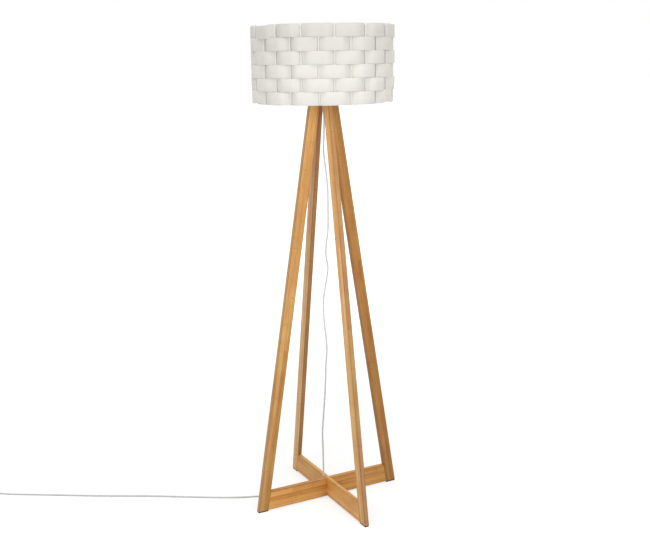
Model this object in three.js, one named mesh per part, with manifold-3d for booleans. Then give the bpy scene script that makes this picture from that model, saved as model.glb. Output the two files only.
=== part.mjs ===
// A floor lamp: a stand of two crossed bamboo frames under a drum shade woven from white strips.
//
// Millimetres, +Z up. The origin is on the floor, on the lamp's centre line.
// One frame lies along X and the other along Y. Each has two leaning legs that stand on the
// floor and a rail between their feet, and the two rails cross with a halved joint.
// A steel plate on the four leg tops carries the lampholder, the bulb and the shade.
// The supply cord hangs down the middle, runs off over the floor towards -X, and ends in
// a switch, a small coil and a plug.

import * as THREE from 'three';
import { mergeVertices } from 'three/addons/utils/BufferGeometryUtils.js';
import Module from 'manifold-3d';

const wasm = await Module();
wasm.setup();

// General values
const GAP = 0.3;               // clearance between pieces that touch
const OVERRUN = 1;             // how far a cutting tool passes the face it enters
const QUARTER = Math.PI / 2;
const TURN = Math.PI * 2;

// Stand
const BASE_SPAN = 500;         // across opposite feet, at the floor
const GRIP_TO_LEG = 2.5;       // from the cord grip to the inner edge of a leg, at its top
const LEG_TOP_Z = 1280;        // height of the leg tops
const BOARD = 14;              // thickness of every board
const LEG_WIDTH = 33;          // width of a leg, square to its length
const RAIL_HEIGHT = 60;
const PAD_HEIGHT = 4;          // foot pad, from the floor to the wood
const PAD_INSET = 0.5;         // from the wood's edges to the pad's
const DOWEL_DIAMETER = 8;
const DOWEL_LENGTH = 36;
const DOWEL_INSET = 17;        // from the rail's upper and lower edge to a dowel's centre

// Top plate and its screws
const PLATE_DIAMETER = 84;
const PLATE_THICKNESS = 3;
const SCREW_DIAMETER = 4;
const SCREW_LENGTH = 30;
const SCREW_POINT = 5;         // length of the screw's point
const SCREW_HEAD_DIAMETER = 8;
const SCREW_HEAD_HEIGHT = 2.6;
const RECESS_WIDTH = 1.2;      // one slot of the cross recess
const RECESS_LENGTH = 4.6;
const RECESS_DEPTH = 1.4;

// Threaded tube through the plate, its nut and washer, and the grip that holds the cord
const TUBE_DIAMETER = 10;
const TUBE_BORE = 7;
const TUBE_ABOVE = 7;          // from the plate's upper face to the tube's upper end
const NUT_ACROSS_FLATS = 14;
const NUT_THICKNESS = 4;
const WASHER_DIAMETER = 15.5;
const WASHER_THICKNESS = 0.8;
const GRIP_DIAMETER = 14;
const GRIP_ENGAGES = 6;        // length of tube inside the grip
const GRIP_LENGTH = 26;
const GRIP_TAPER = 15;         // length of its tapered lower part
const GRIP_TIP_DIAMETER = 7.4;
const GRIP_SCREW_DIAMETER = 3;
const GRIP_SCREW_LENGTH = 5.5;
const GRIP_SCREW_HEIGHT = 2.4; // from the top of the taper to the grip's side screw

// Lampholder
const HOLDER_DIAMETER = 39.6;
const HOLDER_WALL = 1.8;
const CAP_HEIGHT = 25;
const CAP_NECK_DIAMETER = 17;
const CAP_NECK_HEIGHT = 5;
const CAP_SHOULDER_HEIGHT = 15; // where the cap reaches its full width
const SHELL_HEIGHT = 34;
const THREAD_CLEARANCE = 0.9;  // between the bulb's cap and the socket's barrel
const SOCKET_WALL = 1.4;
const SOCKET_BELOW_CAP = 2.5;  // how far the barrel goes on below the bulb's cap
const CORE_ABOVE_CAP = 4;      // how far the core stands up out of the cap
const CONTACT_DIAMETER = 6;

// Threaded rings that clamp the shade on the lampholder
const RING_FLANGE_DIAMETER = 56;
const RING_FLANGE_THICKNESS = 2.2;
const RING_HUB_DIAMETER = 45;
const RING_HEIGHT = 8;
const RING_NOTCHES = 8;
const RING_NOTCH_DIAMETER = 5;

// Bulb
const BULB_DIAMETER = 60;
const BULB_NECK_DIAMETER = 28;
const BULB_GLASS_HEIGHT = 82;
const BULB_GLASS_WALL = 1.2;
const BULB_NECK_HEIGHT = 10;
const BULB_ABOVE_SOCKET = 0.8; // from the socket's rim to the glass
const BULB_CAP_DIAMETER = 26.2; // over the thread
const BULB_CAP_ROOT = 24.4;     // between the threads
const BULB_CAP_WALL = 0.8;
const BULB_CAP_HEIGHT = 19;
const BULB_THREADS = 5;
const BULB_INSULATOR_HEIGHT = 3.5;
const BULB_INSULATOR_TOP = 22;
const BULB_INSULATOR_FOOT = 12;
const BULB_TIP_DIAMETER = 9;
const BULB_TIP_HEIGHT = 1.6;
const BULB_POST_HEIGHT = 34;   // of the light source's carrier inside the glass

// Shade
const SHADE_DROP = 22;         // from the leg tops down to the shade's lower edge
const STRIP_ROWS = 6;
const STRIP_PITCH = 37;        // height of one row
const STRIP_THICKNESS = 1.2;
const BULGE_RADIUS = 209.5;    // outer face of a strip where it stands out furthest
const WAVE_DEPTH = 12;         // from there in to the valley behind a stake
const BULGES = 13;             // bulges in one strip, half as many as there are stakes
const STRIP_STEPS = 6;         // steps in one bulge
const FIRST_VALLEY = THREE.MathUtils.degToRad(-107);
// How far each stake stands off its even place, in spaces between stakes, from the first valley on
const STAKE_SHIFT_SHARES = [
  -0.09, -0.12, -0.12, -0.25, -0.17, -0.1, -0.05, 0, 0, 0, 0, 0, 0,
  0, 0, 0, 0, 0, 0, -0.07, -0.14, 0.29, 0.31, 0.32, 0, 0.02,
];
const HOOP_CORNER_SHARE = 0.13; // place of a hoop's corner in that space, which no stake takes
const STAKE_DIAMETER = 5;
const HOOP_DIAMETER = 3.5;     // wire of the two hoops
const HOOP_INSET = 4;          // from the shade's upper and lower edge to a hoop's centre
const FITTER_DIAMETER = 72;
const FITTER_THICKNESS = 1.5;
const ARM_DIAMETER = 3.5;
const ARM_COUNT = 3;

// Cord, switch, coil and plug
const CORD_DIAMETER = 5;
const SWITCH_LENGTH = 64;
const SWITCH_WIDTH = 26;
const SWITCH_BASE_HEIGHT = 8;
const SWITCH_COVER_HEIGHT = 9;
const SWITCH_WALL = 2;
const ROCKER_WIDTH = 11;
const ROCKER_FLOOR_GAP = 0.8;  // between its round underside and the switch's floor
const ROCKER_TILT = THREE.MathUtils.degToRad(9);
const PIVOT_DIAMETER = 3;
const PIVOT_REACH = 3;         // how far each end of the pivot enters its cheek
const PIVOT_DEPTH = 4;         // from the cover's top down to the pivot
const CHEEK_LENGTH = 12;       // of the cover's thick parts that carry the pivot
const COIL_GAP = 0.45;         // between neighbouring turns of the coil
const COIL_INNER_RADIUS = 20.5;
const COIL_TURNS_PER_LAYER = 1.75;
const COIL_STEPS = 24;         // steps in one turn
const TIE_WIDTH = 6;
const TIE_THICKNESS = 0.5;
const TAIL_LENGTH = 42;        // cord between the switch and the coil
const PLUG_WIDTH = 27;
const PLUG_BACK_WIDTH = 15;
const PLUG_LENGTH = 35;
const PLUG_BEVEL = 2;
const RELIEF_LENGTH = 21;      // tapered sleeve where the cord enters the switch or the plug
const RELIEF_BACK_WALL = 0.5;  // of the sleeve round the cord, at its thin end
const RELIEF_FRONT_DIAMETER = 11;
const PIN_DIAMETER = 4;
const PIN_LENGTH = 19;
const PIN_SPACING = 18.6;

// The free cord's route, from under the grip to the switch: x and y, then z.
// It hangs in slight waves, passes down beside the crossing of the rails, turns
// along the floor behind the -X leg, and rises to the switch's inlet.
const CORD_ROUTE = [
  [0, 0, 1240], [2, -1, 1212], [1, 0, 1160], [0, 1, 1115], [6, -2, 1051], [9.5, -4, 1005],
  [10, -4, 935], [9, -3, 872], [5, 0, 833], [3, 1, 801], [8, -2, 757], [5, 0, 725],
  [-4, 5, 661], [-4, 5, 592], [3, 2, 503], [0, 4, 445], [-2, 5, 385], [-9, 9, 266],
  [-12, 11, 220], [-11, 11, 159], [-10.6, 10.7, 105], [-10.6, 10.7, 62], [-12, 11.5, 36],
  [-18.5, 15, 15], [-31, 21.6, 5.2], [-52, 32.5, 2.9], [-104, 58, 2.9], [-207, 101, 2.9],
  [-253, 119, 2.9], [-313, 151, 2.9], [-402, 206, 2.9], [-490, 262, 2.9], [-582, 316, 2.9],
  [-668, 366, 2.9], [-767, 427, 2.9], [-846, 475.8, 2.9], [-912, 516.7, 3.1], [-940, 534.1, 5.4],
  [-962, 547.8, 8.1],
];

// Values worked out from those above
const footToTop = BASE_SPAN / 2 - GRIP_DIAMETER / 2 - GRIP_TO_LEG;
const legDiagonal = Math.hypot(footToTop, LEG_TOP_Z);
const legTilt = Math.atan(footToTop / LEG_TOP_Z) - Math.asin(LEG_WIDTH / legDiagonal);
const legRun = LEG_WIDTH / Math.cos(legTilt);
const legHalf = (z) => BASE_SPAN / 2 - z * Math.tan(legTilt);
const railTop = PAD_HEIGHT + RAIL_HEIGHT;
const plateZ = LEG_TOP_Z + GAP;
const plateTop = plateZ + PLATE_THICKNESS;
const screwRadius = legHalf(LEG_TOP_Z) - legRun / 2;
const washerZ = plateZ - GAP - WASHER_THICKNESS;
const nutZ = washerZ - GAP - NUT_THICKNESS;
const gripTop = nutZ - GAP;
const gripBottom = gripTop - GRIP_LENGTH;
const tubeBottom = gripTop - GRIP_ENGAGES;
const tubeHole = TUBE_DIAMETER / 2 + GAP;
const cordHole = CORD_DIAMETER / 2 + GAP;
const capZ = plateTop + GAP;
const capTop = capZ + CAP_HEIGHT;
const shellZ = capTop + GAP;
const shellTop = shellZ + SHELL_HEIGHT;
const coreTop = capTop + CORE_ABOVE_CAP;
const coreZ = capZ + CAP_SHOULDER_HEIGHT + HOLDER_WALL / 2 + GAP;
const holderRadius = HOLDER_DIAMETER / 2;
const ringBore = holderRadius + GAP;
const glassZ = shellTop + BULB_ABOVE_SOCKET;
const bulbCapZ = glassZ - GAP - BULB_CAP_HEIGHT;
const insulatorZ = bulbCapZ - GAP - BULB_INSULATOR_HEIGHT;
const bulbZ = insulatorZ - GAP - BULB_TIP_HEIGHT;
const fitterTop = shellZ + SHELL_HEIGHT / 2;
const fitterZ = fitterTop - FITTER_THICKNESS;
const shadeBottom = LEG_TOP_Z - SHADE_DROP;
const shadeTop = shadeBottom + STRIP_ROWS * STRIP_PITCH;
const valleyRadius = BULGE_RADIUS - WAVE_DEPTH;
const stakes = 2 * BULGES;
const stakeShift = (stake) => STAKE_SHIFT_SHARES[stake % stakes] ?? 0;
const spaceShares = Array.from({ length: stakes }, (_, i) => 1 + stakeShift(i + 1) - stakeShift(i));
const evenFlank = WAVE_DEPTH * BULGES / 2 / valleyRadius;
const flankAngle = Math.atan(evenFlank / Math.min(...spaceShares));
const stakeRadius = valleyRadius + (STAKE_DIAMETER / 2 + GAP) / Math.cos(flankAngle);
const hoopRadius = valleyRadius - STRIP_THICKNESS - GAP - HOOP_DIAMETER / 2;
const bottomHoopZ = shadeBottom + HOOP_INSET;
const topHoopZ = shadeTop - HOOP_INSET;
const coilPitch = CORD_DIAMETER + COIL_GAP;
const coilOuterRadius = COIL_INNER_RADIUS + coilPitch * COIL_TURNS_PER_LAYER;
const coilBottomZ = TIE_THICKNESS + GAP + CORD_DIAMETER / 2;
const coilTopZ = coilBottomZ + coilPitch;
const plugHeight = 2 * coilTopZ;

// Materials
function finish(color, roughness, metalness = 0) {
  return new THREE.MeshStandardMaterial({ color, roughness, metalness });
}
const bamboo = () => finish(0xc99356, 0.45);
const dowelWood = () => finish(0xd9b98a, 0.7);
const darkRubber = () => finish(0x3a3634, 0.8);
const zincSteel = () => finish(0xb9bcc0, 0.35, 1);
const brass = () => finish(0xb8975a, 0.35, 1);
const whitePlastic = () => finish(0xeeece6, 0.4);
const whiteWire = () => finish(0xf1efe9, 0.45);
const whiteStrip = () => finish(0xebe8e0, 0.6);
const porcelain = () => finish(0xf2f0ea, 0.25);
const opalGlass = () => finish(0xf7f6f2, 0.2);
const blackInsulator = () => finish(0x1d1c1e, 0.4);
const cordWhite = () => finish(0xe9e7e1, 0.5);

// Solids and booleans
function signedVolume(geometry) {
  const position = geometry.attributes.position;
  const index = geometry.index ? geometry.index.array : [...Array(position.count).keys()];
  const [a, b, c] = [new THREE.Vector3(), new THREE.Vector3(), new THREE.Vector3()];
  let volume = 0;
  for (let i = 0; i < index.length; i += 3) {
    a.fromBufferAttribute(position, index[i]);
    b.fromBufferAttribute(position, index[i + 1]);
    c.fromBufferAttribute(position, index[i + 2]);
    volume += a.dot(b.cross(c));
  }
  return volume;
}

// The closed body of a geometry, with shared corners merged and its faces pointing out.
function body(source) {
  const bare = source.clone();
  bare.deleteAttribute('normal');
  bare.deleteAttribute('uv');
  const merged = mergeVertices(bare, GAP / 1000);
  const corners = merged.index.array;
  const kept = [];
  for (let i = 0; i < corners.length; i += 3) {
    const [a, b, c] = corners.slice(i, i + 3);
    if (a !== b && b !== c && c !== a) {
      kept.push(a, b, c);
    }
  }
  merged.setIndex(kept);
  if (signedVolume(merged) < 0) {
    merged.setIndex(kept.reverse());
  }
  return merged;
}

function solid(geometry) {
  const closed = body(geometry);
  return new wasm.Manifold(new wasm.Mesh({
    numProp: 3,
    vertProperties: new Float32Array(closed.attributes.position.array),
    triVerts: new Uint32Array(closed.index.array),
  }));
}

function shapeOf(manifold) {
  const mesh = manifold.getMesh();
  const geometry = new THREE.BufferGeometry();
  geometry.setAttribute('position', new THREE.BufferAttribute(mesh.vertProperties, 3));
  geometry.setIndex([...mesh.triVerts]);
  return geometry;
}

function cut(geometry, tools) {
  const result = tools.reduce((rest, tool) => rest.subtract(solid(tool)), solid(geometry));
  return shapeOf(result);
}

function join(pieces) {
  const [first, ...others] = pieces;
  const result = others.reduce((whole, piece) => whole.add(solid(piece)), solid(first));
  return shapeOf(result);
}

// A geometry turned round the Z axis from the given profile of [radius, z] points.
function turned(points, segments = 32) {
  const profile = points.map(([radius, z]) => new THREE.Vector2(radius, z));
  const geometry = new THREE.LatheGeometry(profile, segments);
  geometry.rotateX(QUARTER);
  return body(geometry);
}

// The same for a hollow piece, whose profile closes on itself.
function ringed(points, segments = 32) {
  return turned([...points, points[0]], segments);
}

// An upright cylinder that stands on the given height.
function upright(diameter, height, z, sides = 12) {
  const geometry = new THREE.CylinderGeometry(diameter / 2, diameter / 2, height, sides);
  geometry.rotateX(QUARTER);
  geometry.translate(0, 0, z + height / 2);
  return geometry;
}

// A cylinder that lies along X, centred on a point.
function lying(diameter, length, centre, sides = 12) {
  const geometry = new THREE.CylinderGeometry(diameter / 2, diameter / 2, length, sides);
  geometry.rotateZ(QUARTER);
  geometry.translate(...centre);
  return geometry;
}

function block(length, width, height, centre) {
  return new THREE.BoxGeometry(length, width, height).translate(...centre);
}

// An outline of [x, y] points raised to a height.
function raised(points, height, z = 0) {
  const shape = new THREE.Shape(points.map(([x, y]) => new THREE.Vector2(x, y)));
  const geometry = new THREE.ExtrudeGeometry(shape, { depth: height, bevelEnabled: false });
  return geometry.translate(0, 0, z);
}

// An upright board of the given [x, z] outline, centred on the XZ plane.
function board(points) {
  const geometry = raised(points, BOARD);
  geometry.rotateX(QUARTER);
  return geometry.translate(0, BOARD / 2, 0);
}

function circle(diameter, sides, phase = 0) {
  const points = [];
  for (let i = 0; i < sides; i += 1) {
    const angle = phase + i / sides * TURN;
    points.push([diameter / 2 * Math.cos(angle), diameter / 2 * Math.sin(angle)]);
  }
  return points;
}

// A round tube along a curve.
function tube(curve, diameter, sides, steps) {
  const section = circle(diameter, sides).map(([x, y]) => new THREE.Vector2(x, y));
  const options = { steps, extrudePath: curve, bevelEnabled: false };
  return new THREE.ExtrudeGeometry(new THREE.Shape(section), options);
}

// A round tube whose sections stand on the given points. No part of it may run along `across`.
function tubeThrough(points, diameter, sides, across) {
  const corners = [];
  const faces = [];
  const last = points.length - 1;
  const heading = (i) => points[i + 1].clone().sub(points[i]).normalize();
  let level = across;
  points.forEach((point, i) => {
    const along = heading(Math.min(i, last - 1)).add(heading(Math.max(i - 1, 0))).normalize();
    const side = new THREE.Vector3().crossVectors(along, level).normalize();
    level = new THREE.Vector3().crossVectors(side, along);
    circle(diameter, sides).forEach(([x, y]) => {
      const corner = point.clone().addScaledVector(side, x).addScaledVector(level, y);
      corners.push(corner.x, corner.y, corner.z);
    });
  });
  for (let i = 0; i < last; i += 1) {
    for (let k = 0; k < sides; k += 1) {
      const [a, b] = [i * sides + k, i * sides + (k + 1) % sides];
      faces.push(a, b, b + sides, a, b + sides, a + sides);
    }
  }
  for (let k = 1; k < sides - 1; k += 1) {
    const end = last * sides;
    faces.push(0, k + 1, k, end, end + k, end + k + 1);
  }
  const geometry = new THREE.BufferGeometry();
  geometry.setAttribute('position', new THREE.Float32BufferAttribute(corners, 3));
  geometry.setIndex(faces);
  return geometry;
}

const lamp = new THREE.Group();

function add(name, geometry, material, parent = lamp) {
  const mesh = new THREE.Mesh(body(geometry), material);
  mesh.name = name;
  parent.add(mesh);
  return mesh;
}

// Dowels: two in each joint between a leg and a rail
const dowelHeights = [PAD_HEIGHT + DOWEL_INSET, railTop - DOWEL_INSET];
const dowelCentre = (z) => legHalf(z) - legRun - GAP / 2;

function dowelHoles() {
  const length = DOWEL_LENGTH + 2 * GAP;
  return dowelHeights.map((z) => lying(DOWEL_DIAMETER + 2 * GAP, length, [dowelCentre(z), 0, z]));
}

// Legs
function legGeometry() {
  const outline = [
    [legHalf(PAD_HEIGHT) - legRun, PAD_HEIGHT],
    [legHalf(PAD_HEIGHT), PAD_HEIGHT],
    [legHalf(LEG_TOP_Z), LEG_TOP_Z],
    [legHalf(LEG_TOP_Z) - legRun, LEG_TOP_Z],
  ];
  const depth = SCREW_LENGTH - PLATE_THICKNESS;
  const pilot = upright(SCREW_DIAMETER + 2 * GAP, depth + OVERRUN, LEG_TOP_Z - depth);
  pilot.translate(screwRadius, 0, 0);
  return cut(board(outline), [...dowelHoles(), pilot]);
}

// Rails. The one along X is notched from above and the one along Y from below.
function railGeometry(notchedAbove) {
  const end = (z) => legHalf(z) - legRun - GAP;
  const notch = BOARD / 2 + GAP;
  const middle = (PAD_HEIGHT + railTop) / 2;
  const from = notchedAbove ? middle - GAP / 2 : middle + GAP / 2;
  const above = [[notch, railTop], [notch, from], [-notch, from], [-notch, railTop]];
  const below = [[-notch, PAD_HEIGHT], [-notch, from], [notch, from], [notch, PAD_HEIGHT]];
  const outline = [
    [-end(PAD_HEIGHT), PAD_HEIGHT],
    ...(notchedAbove ? [] : below),
    [end(PAD_HEIGHT), PAD_HEIGHT],
    [end(railTop), railTop],
    ...(notchedAbove ? above : []),
    [-end(railTop), railTop],
  ];
  const holes = dowelHoles();
  const mirrored = dowelHoles().map((hole) => hole.rotateZ(Math.PI));
  return cut(board(outline), [...holes, ...mirrored]);
}

function buildStand() {
  const sides = ['back_right', 'back_left', 'front_left', 'front_right'];
  sides.forEach((side, quarter) => {
    const corner = new THREE.Group();
    corner.rotation.z = quarter * QUARTER;
    lamp.add(corner);
    add(`leg_${side}`, legGeometry(), bamboo(), corner);

    const padX = legHalf(PAD_HEIGHT) - legRun / 2;
    const padSize = [legRun - 2 * PAD_INSET, BOARD - 2 * PAD_INSET, PAD_HEIGHT - GAP];
    const pad = block(...padSize, [padX, 0, (PAD_HEIGHT - GAP) / 2]);
    add(`foot_pad_${side}`, pad, darkRubber(), corner);

    dowelHeights.forEach((z, level) => {
      const dowel = lying(DOWEL_DIAMETER, DOWEL_LENGTH, [dowelCentre(z), 0, z], 12);
      add(`dowel_${side}_${level + 1}`, dowel, dowelWood(), corner);
    });
    add(`plate_screw_${side}`, screwGeometry(), zincSteel(), corner);
  });
  add('rail_along_x', railGeometry(true), bamboo());
  add('rail_along_y', railGeometry(false), bamboo()).rotation.z = QUARTER;
}

// Plate screws: a point, a shank and a domed head with a cross recess
function screwGeometry() {
  const shank = SCREW_DIAMETER / 2;
  const head = SCREW_HEAD_DIAMETER / 2;
  const under = plateTop + GAP;
  const tip = under - SCREW_LENGTH;
  const screw = turned([
    [0, tip],
    [shank, tip + SCREW_POINT],
    [shank, under],
    [head, under],
    [head, under + SCREW_HEAD_HEIGHT / 2],
    [head / 2, under + SCREW_HEAD_HEIGHT],
    [0, under + SCREW_HEAD_HEIGHT],
  ], 12);
  const slotHeight = RECESS_DEPTH + OVERRUN;
  const slotZ = under + SCREW_HEAD_HEIGHT - RECESS_DEPTH + slotHeight / 2;
  const slots = [
    block(RECESS_LENGTH, RECESS_WIDTH, slotHeight, [0, 0, slotZ]),
    block(RECESS_WIDTH, RECESS_LENGTH, slotHeight, [0, 0, slotZ]),
  ];
  return cut(screw, slots).translate(screwRadius, 0, 0);
}

// Plate, threaded tube, nut, washer and cord grip
function buildTop() {
  const screwHole = upright(SCREW_DIAMETER + 2 * GAP, PLATE_THICKNESS + 2 * OVERRUN, plateZ - OVERRUN);
  const holes = [0, 1, 2, 3].map((quarter) => {
    return screwHole.clone().translate(screwRadius, 0, 0).rotateZ(quarter * QUARTER);
  });
  holes.push(upright(2 * tubeHole, PLATE_THICKNESS + 2 * OVERRUN, plateZ - OVERRUN, 16));
  const plate = upright(PLATE_DIAMETER, PLATE_THICKNESS, plateZ, 36);
  add('top_plate', cut(plate, holes), zincSteel());

  const tubeTop = plateTop + TUBE_ABOVE;
  const threadedTube = ringed([
    [TUBE_BORE / 2, tubeBottom],
    [TUBE_DIAMETER / 2, tubeBottom],
    [TUBE_DIAMETER / 2, tubeTop],
    [TUBE_BORE / 2, tubeTop],
  ], 16);
  add('threaded_tube', threadedTube, zincSteel());

  const washer = ringed([
    [tubeHole, washerZ],
    [WASHER_DIAMETER / 2, washerZ],
    [WASHER_DIAMETER / 2, washerZ + WASHER_THICKNESS],
    [tubeHole, washerZ + WASHER_THICKNESS],
  ], 16);
  add('tube_washer', washer, zincSteel());

  const acrossCorners = NUT_ACROSS_FLATS / Math.cos(Math.PI / 6);
  const nut = raised(circle(acrossCorners, 6), NUT_THICKNESS, nutZ);
  const nutHole = upright(2 * tubeHole, NUT_THICKNESS + 2 * OVERRUN, nutZ - OVERRUN, 16);
  add('tube_nut', cut(nut, [nutHole]), zincSteel());

  const grip = ringed([
    [cordHole, gripBottom],
    [GRIP_TIP_DIAMETER / 2, gripBottom],
    [GRIP_DIAMETER / 2, gripBottom + GRIP_TAPER],
    [GRIP_DIAMETER / 2, gripTop],
    [tubeHole, gripTop],
    [tubeHole, tubeBottom - GAP],
    [cordHole, tubeBottom - GAP],
  ], 16);
  const screwFrom = CORD_DIAMETER / 2 + GAP;
  const screwZ = gripBottom + GRIP_TAPER + GRIP_SCREW_HEIGHT;
  const sideHole = lying(GRIP_SCREW_DIAMETER + 2 * GAP, GRIP_DIAMETER, [GRIP_DIAMETER / 2, 0, screwZ]);
  const diagonal = QUARTER / 2;
  add('cord_grip', cut(grip, [sideHole]).rotateZ(diagonal), whitePlastic());
  const screwMiddle = [screwFrom + GRIP_SCREW_LENGTH / 2, 0, screwZ];
  const sideScrew = lying(GRIP_SCREW_DIAMETER, GRIP_SCREW_LENGTH, screwMiddle, 12).rotateZ(diagonal);
  add('grip_screw', sideScrew, whitePlastic());

  const leadTop = coreZ - GAP;
  add('cord_inner_lead', upright(CORD_DIAMETER, leadTop - gripBottom, gripBottom, 8), cordWhite());
}

// Lampholder and the two rings that clamp the shade
function ringGeometry(flangeZ, hubDirection) {
  const hubZ = flangeZ + hubDirection * RING_FLANGE_THICKNESS;
  const endZ = flangeZ + hubDirection * RING_HEIGHT;
  const ring = ringed([
    [ringBore, flangeZ],
    [RING_FLANGE_DIAMETER / 2, flangeZ],
    [RING_FLANGE_DIAMETER / 2, hubZ],
    [RING_HUB_DIAMETER / 2, hubZ],
    [RING_HUB_DIAMETER / 2, endZ],
    [ringBore, endZ],
  ], 24);
  const notches = [];
  const low = Math.min(flangeZ, hubZ) - OVERRUN;
  const height = RING_FLANGE_THICKNESS + 2 * OVERRUN;
  for (let i = 0; i < RING_NOTCHES; i += 1) {
    const notch = upright(RING_NOTCH_DIAMETER, height, low, 6);
    notch.translate(RING_FLANGE_DIAMETER / 2, 0, 0).rotateZ((i + 0.5) / RING_NOTCHES * TURN);
    notches.push(notch);
  }
  return cut(ring, notches);
}

function buildLampholder() {
  const inner = holderRadius - HOLDER_WALL;
  const neck = CAP_NECK_DIAMETER / 2;
  const cap = ringed([
    [tubeHole, capZ],
    [neck, capZ],
    [neck, capZ + CAP_NECK_HEIGHT],
    [holderRadius, capZ + CAP_SHOULDER_HEIGHT],
    [holderRadius, capTop],
    [inner, capTop],
    [inner, capZ + CAP_SHOULDER_HEIGHT + HOLDER_WALL / 2],
    [neck, capZ + CAP_NECK_HEIGHT + HOLDER_WALL],
    [tubeHole, capZ + CAP_NECK_HEIGHT + HOLDER_WALL],
  ], 24);
  add('lampholder_cap', cap, whitePlastic());

  const coreRadius = inner - GAP;
  add('lampholder_core', upright(2 * coreRadius, coreTop - coreZ, coreZ, 24), porcelain());
  const contactZ = coreTop + GAP;
  const contactHeight = bulbZ - GAP - contactZ;
  add('lampholder_contact', upright(CONTACT_DIAMETER, contactHeight, contactZ, 12), brass());

  const bore = BULB_CAP_DIAMETER / 2 + THREAD_CLEARANCE;
  const barrelZ = bulbCapZ - SOCKET_BELOW_CAP;
  const shell = ringed([
    [inner, shellZ],
    [holderRadius, shellZ],
    [holderRadius, shellTop],
    [bore, shellTop],
    [bore, barrelZ],
    [bore + SOCKET_WALL, barrelZ],
    [bore + SOCKET_WALL, shellTop - HOLDER_WALL],
    [inner, shellTop - HOLDER_WALL],
  ], 24);
  add('lampholder_shell', shell, whitePlastic());
  add('shade_ring_lower', ringGeometry(fitterZ - GAP, -1), whitePlastic());
  add('shade_ring_upper', ringGeometry(fitterTop + GAP, 1), whitePlastic());
}

// Bulb
function buildBulb() {
  const tip = BULB_TIP_DIAMETER / 2;
  const contact = turned([
    [0, bulbZ],
    [tip / 2, bulbZ],
    [tip, bulbZ + BULB_TIP_HEIGHT],
    [0, bulbZ + BULB_TIP_HEIGHT],
  ], 16);
  add('bulb_contact', contact, zincSteel());

  const insulator = turned([
    [0, insulatorZ],
    [BULB_INSULATOR_FOOT / 2, insulatorZ],
    [BULB_INSULATOR_TOP / 2, insulatorZ + BULB_INSULATOR_HEIGHT],
    [0, insulatorZ + BULB_INSULATOR_HEIGHT],
  ], 20);
  add('bulb_insulator', insulator, blackInsulator());

  const crest = BULB_CAP_DIAMETER / 2;
  const root = BULB_CAP_ROOT / 2;
  const inside = root - BULB_CAP_WALL;
  const capEnd = bulbCapZ + BULB_CAP_HEIGHT;
  const pitch = BULB_CAP_HEIGHT / (BULB_THREADS + 1);
  const threads = [];
  for (let i = 0; i < BULB_THREADS; i += 1) {
    const z = bulbCapZ + (i + 0.5) * pitch;
    threads.push([root, z], [crest, z + pitch / 2]);
  }
  const cap = ringed([
    [inside, bulbCapZ],
    [root, bulbCapZ],
    ...threads,
    [root, capEnd - pitch / 2],
    [root, capEnd],
    [inside, capEnd],
  ], 16);
  add('bulb_cap', cap, zincSteel());

  const post = upright(2 * (inside - GAP), BULB_POST_HEIGHT, bulbCapZ, 16);
  add('bulb_inner_post', post, whitePlastic());
  add('bulb_glass', bulbGlassGeometry(), opalGlass());
}

// The glass: a globe that narrows to a neck, one wall thick and open at the neck.
function bulbGlassGeometry() {
  const globe = BULB_DIAMETER / 2;
  const neck = BULB_NECK_DIAMETER / 2;
  const neckTop = glassZ + BULB_NECK_HEIGHT;
  const centreZ = glassZ + BULB_GLASS_HEIGHT - globe;
  const outside = (wall) => {
    const curve = new THREE.CubicBezierCurve(
      new THREE.Vector2(neck - wall, neckTop),
      new THREE.Vector2(neck - wall, neckTop + (centreZ - neckTop) / 2),
      new THREE.Vector2(globe - wall, centreZ - globe / 2),
      new THREE.Vector2(globe - wall, centreZ),
    );
    const flank = curve.getPoints(5).map((point) => [point.x, point.y]);
    const crown = [];
    const steps = 6;
    for (let i = 1; i <= steps; i += 1) {
      const angle = i / steps * QUARTER;
      const radius = i === steps ? 0 : (globe - wall) * Math.cos(angle);
      crown.push([radius, centreZ + (globe - wall) * Math.sin(angle)]);
    }
    return [[neck - wall, glassZ], ...flank, ...crown];
  };
  return turned([...outside(BULB_GLASS_WALL).reverse(), ...outside(0)], 24);
}

// Shade: woven strips, stakes and hoops, and the fitter that carries them
// The angle of a stake, or of a place between two stakes.
function stakeAngle(place) {
  const before = Math.floor(place);
  const shift = THREE.MathUtils.lerp(stakeShift(before), stakeShift(before + 1), place - before);
  return FIRST_VALLEY + (place + shift) / stakes * TURN;
}

// One strip. Its valleys lie behind every other stake, and it bulges out over the rest.
function stripGeometry(row) {
  const columns = BULGES * STRIP_STEPS;
  const top = shadeTop - row * STRIP_PITCH - GAP / 2;
  const bottom = shadeTop - (row + 1) * STRIP_PITCH + GAP / 2;
  const corners = [];
  for (let column = 0; column < columns; column += 1) {
    const along = column / STRIP_STEPS;
    const outer = valleyRadius + WAVE_DEPTH * Math.abs(Math.sin(along * Math.PI));
    const inner = outer - STRIP_THICKNESS;
    const angle = stakeAngle(row % 2 + 2 * along);
    const [cos, sin] = [Math.cos(angle), Math.sin(angle)];
    corners.push(outer * cos, outer * sin, bottom, outer * cos, outer * sin, top);
    corners.push(inner * cos, inner * sin, top, inner * cos, inner * sin, bottom);
  }
  const faces = [];
  const side = 4;
  for (let column = 0; column < columns; column += 1) {
    const here = column * side;
    const next = (column + 1) % columns * side;
    for (let edge = 0; edge < side; edge += 1) {
      const after = (edge + 1) % side;
      faces.push(here + edge, next + edge, next + after);
      faces.push(here + edge, next + after, here + after);
    }
  }
  const geometry = new THREE.BufferGeometry();
  geometry.setAttribute('position', new THREE.Float32BufferAttribute(corners, 3));
  geometry.setIndex(faces);
  return cut(geometry, stripNotches(row));
}

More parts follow.
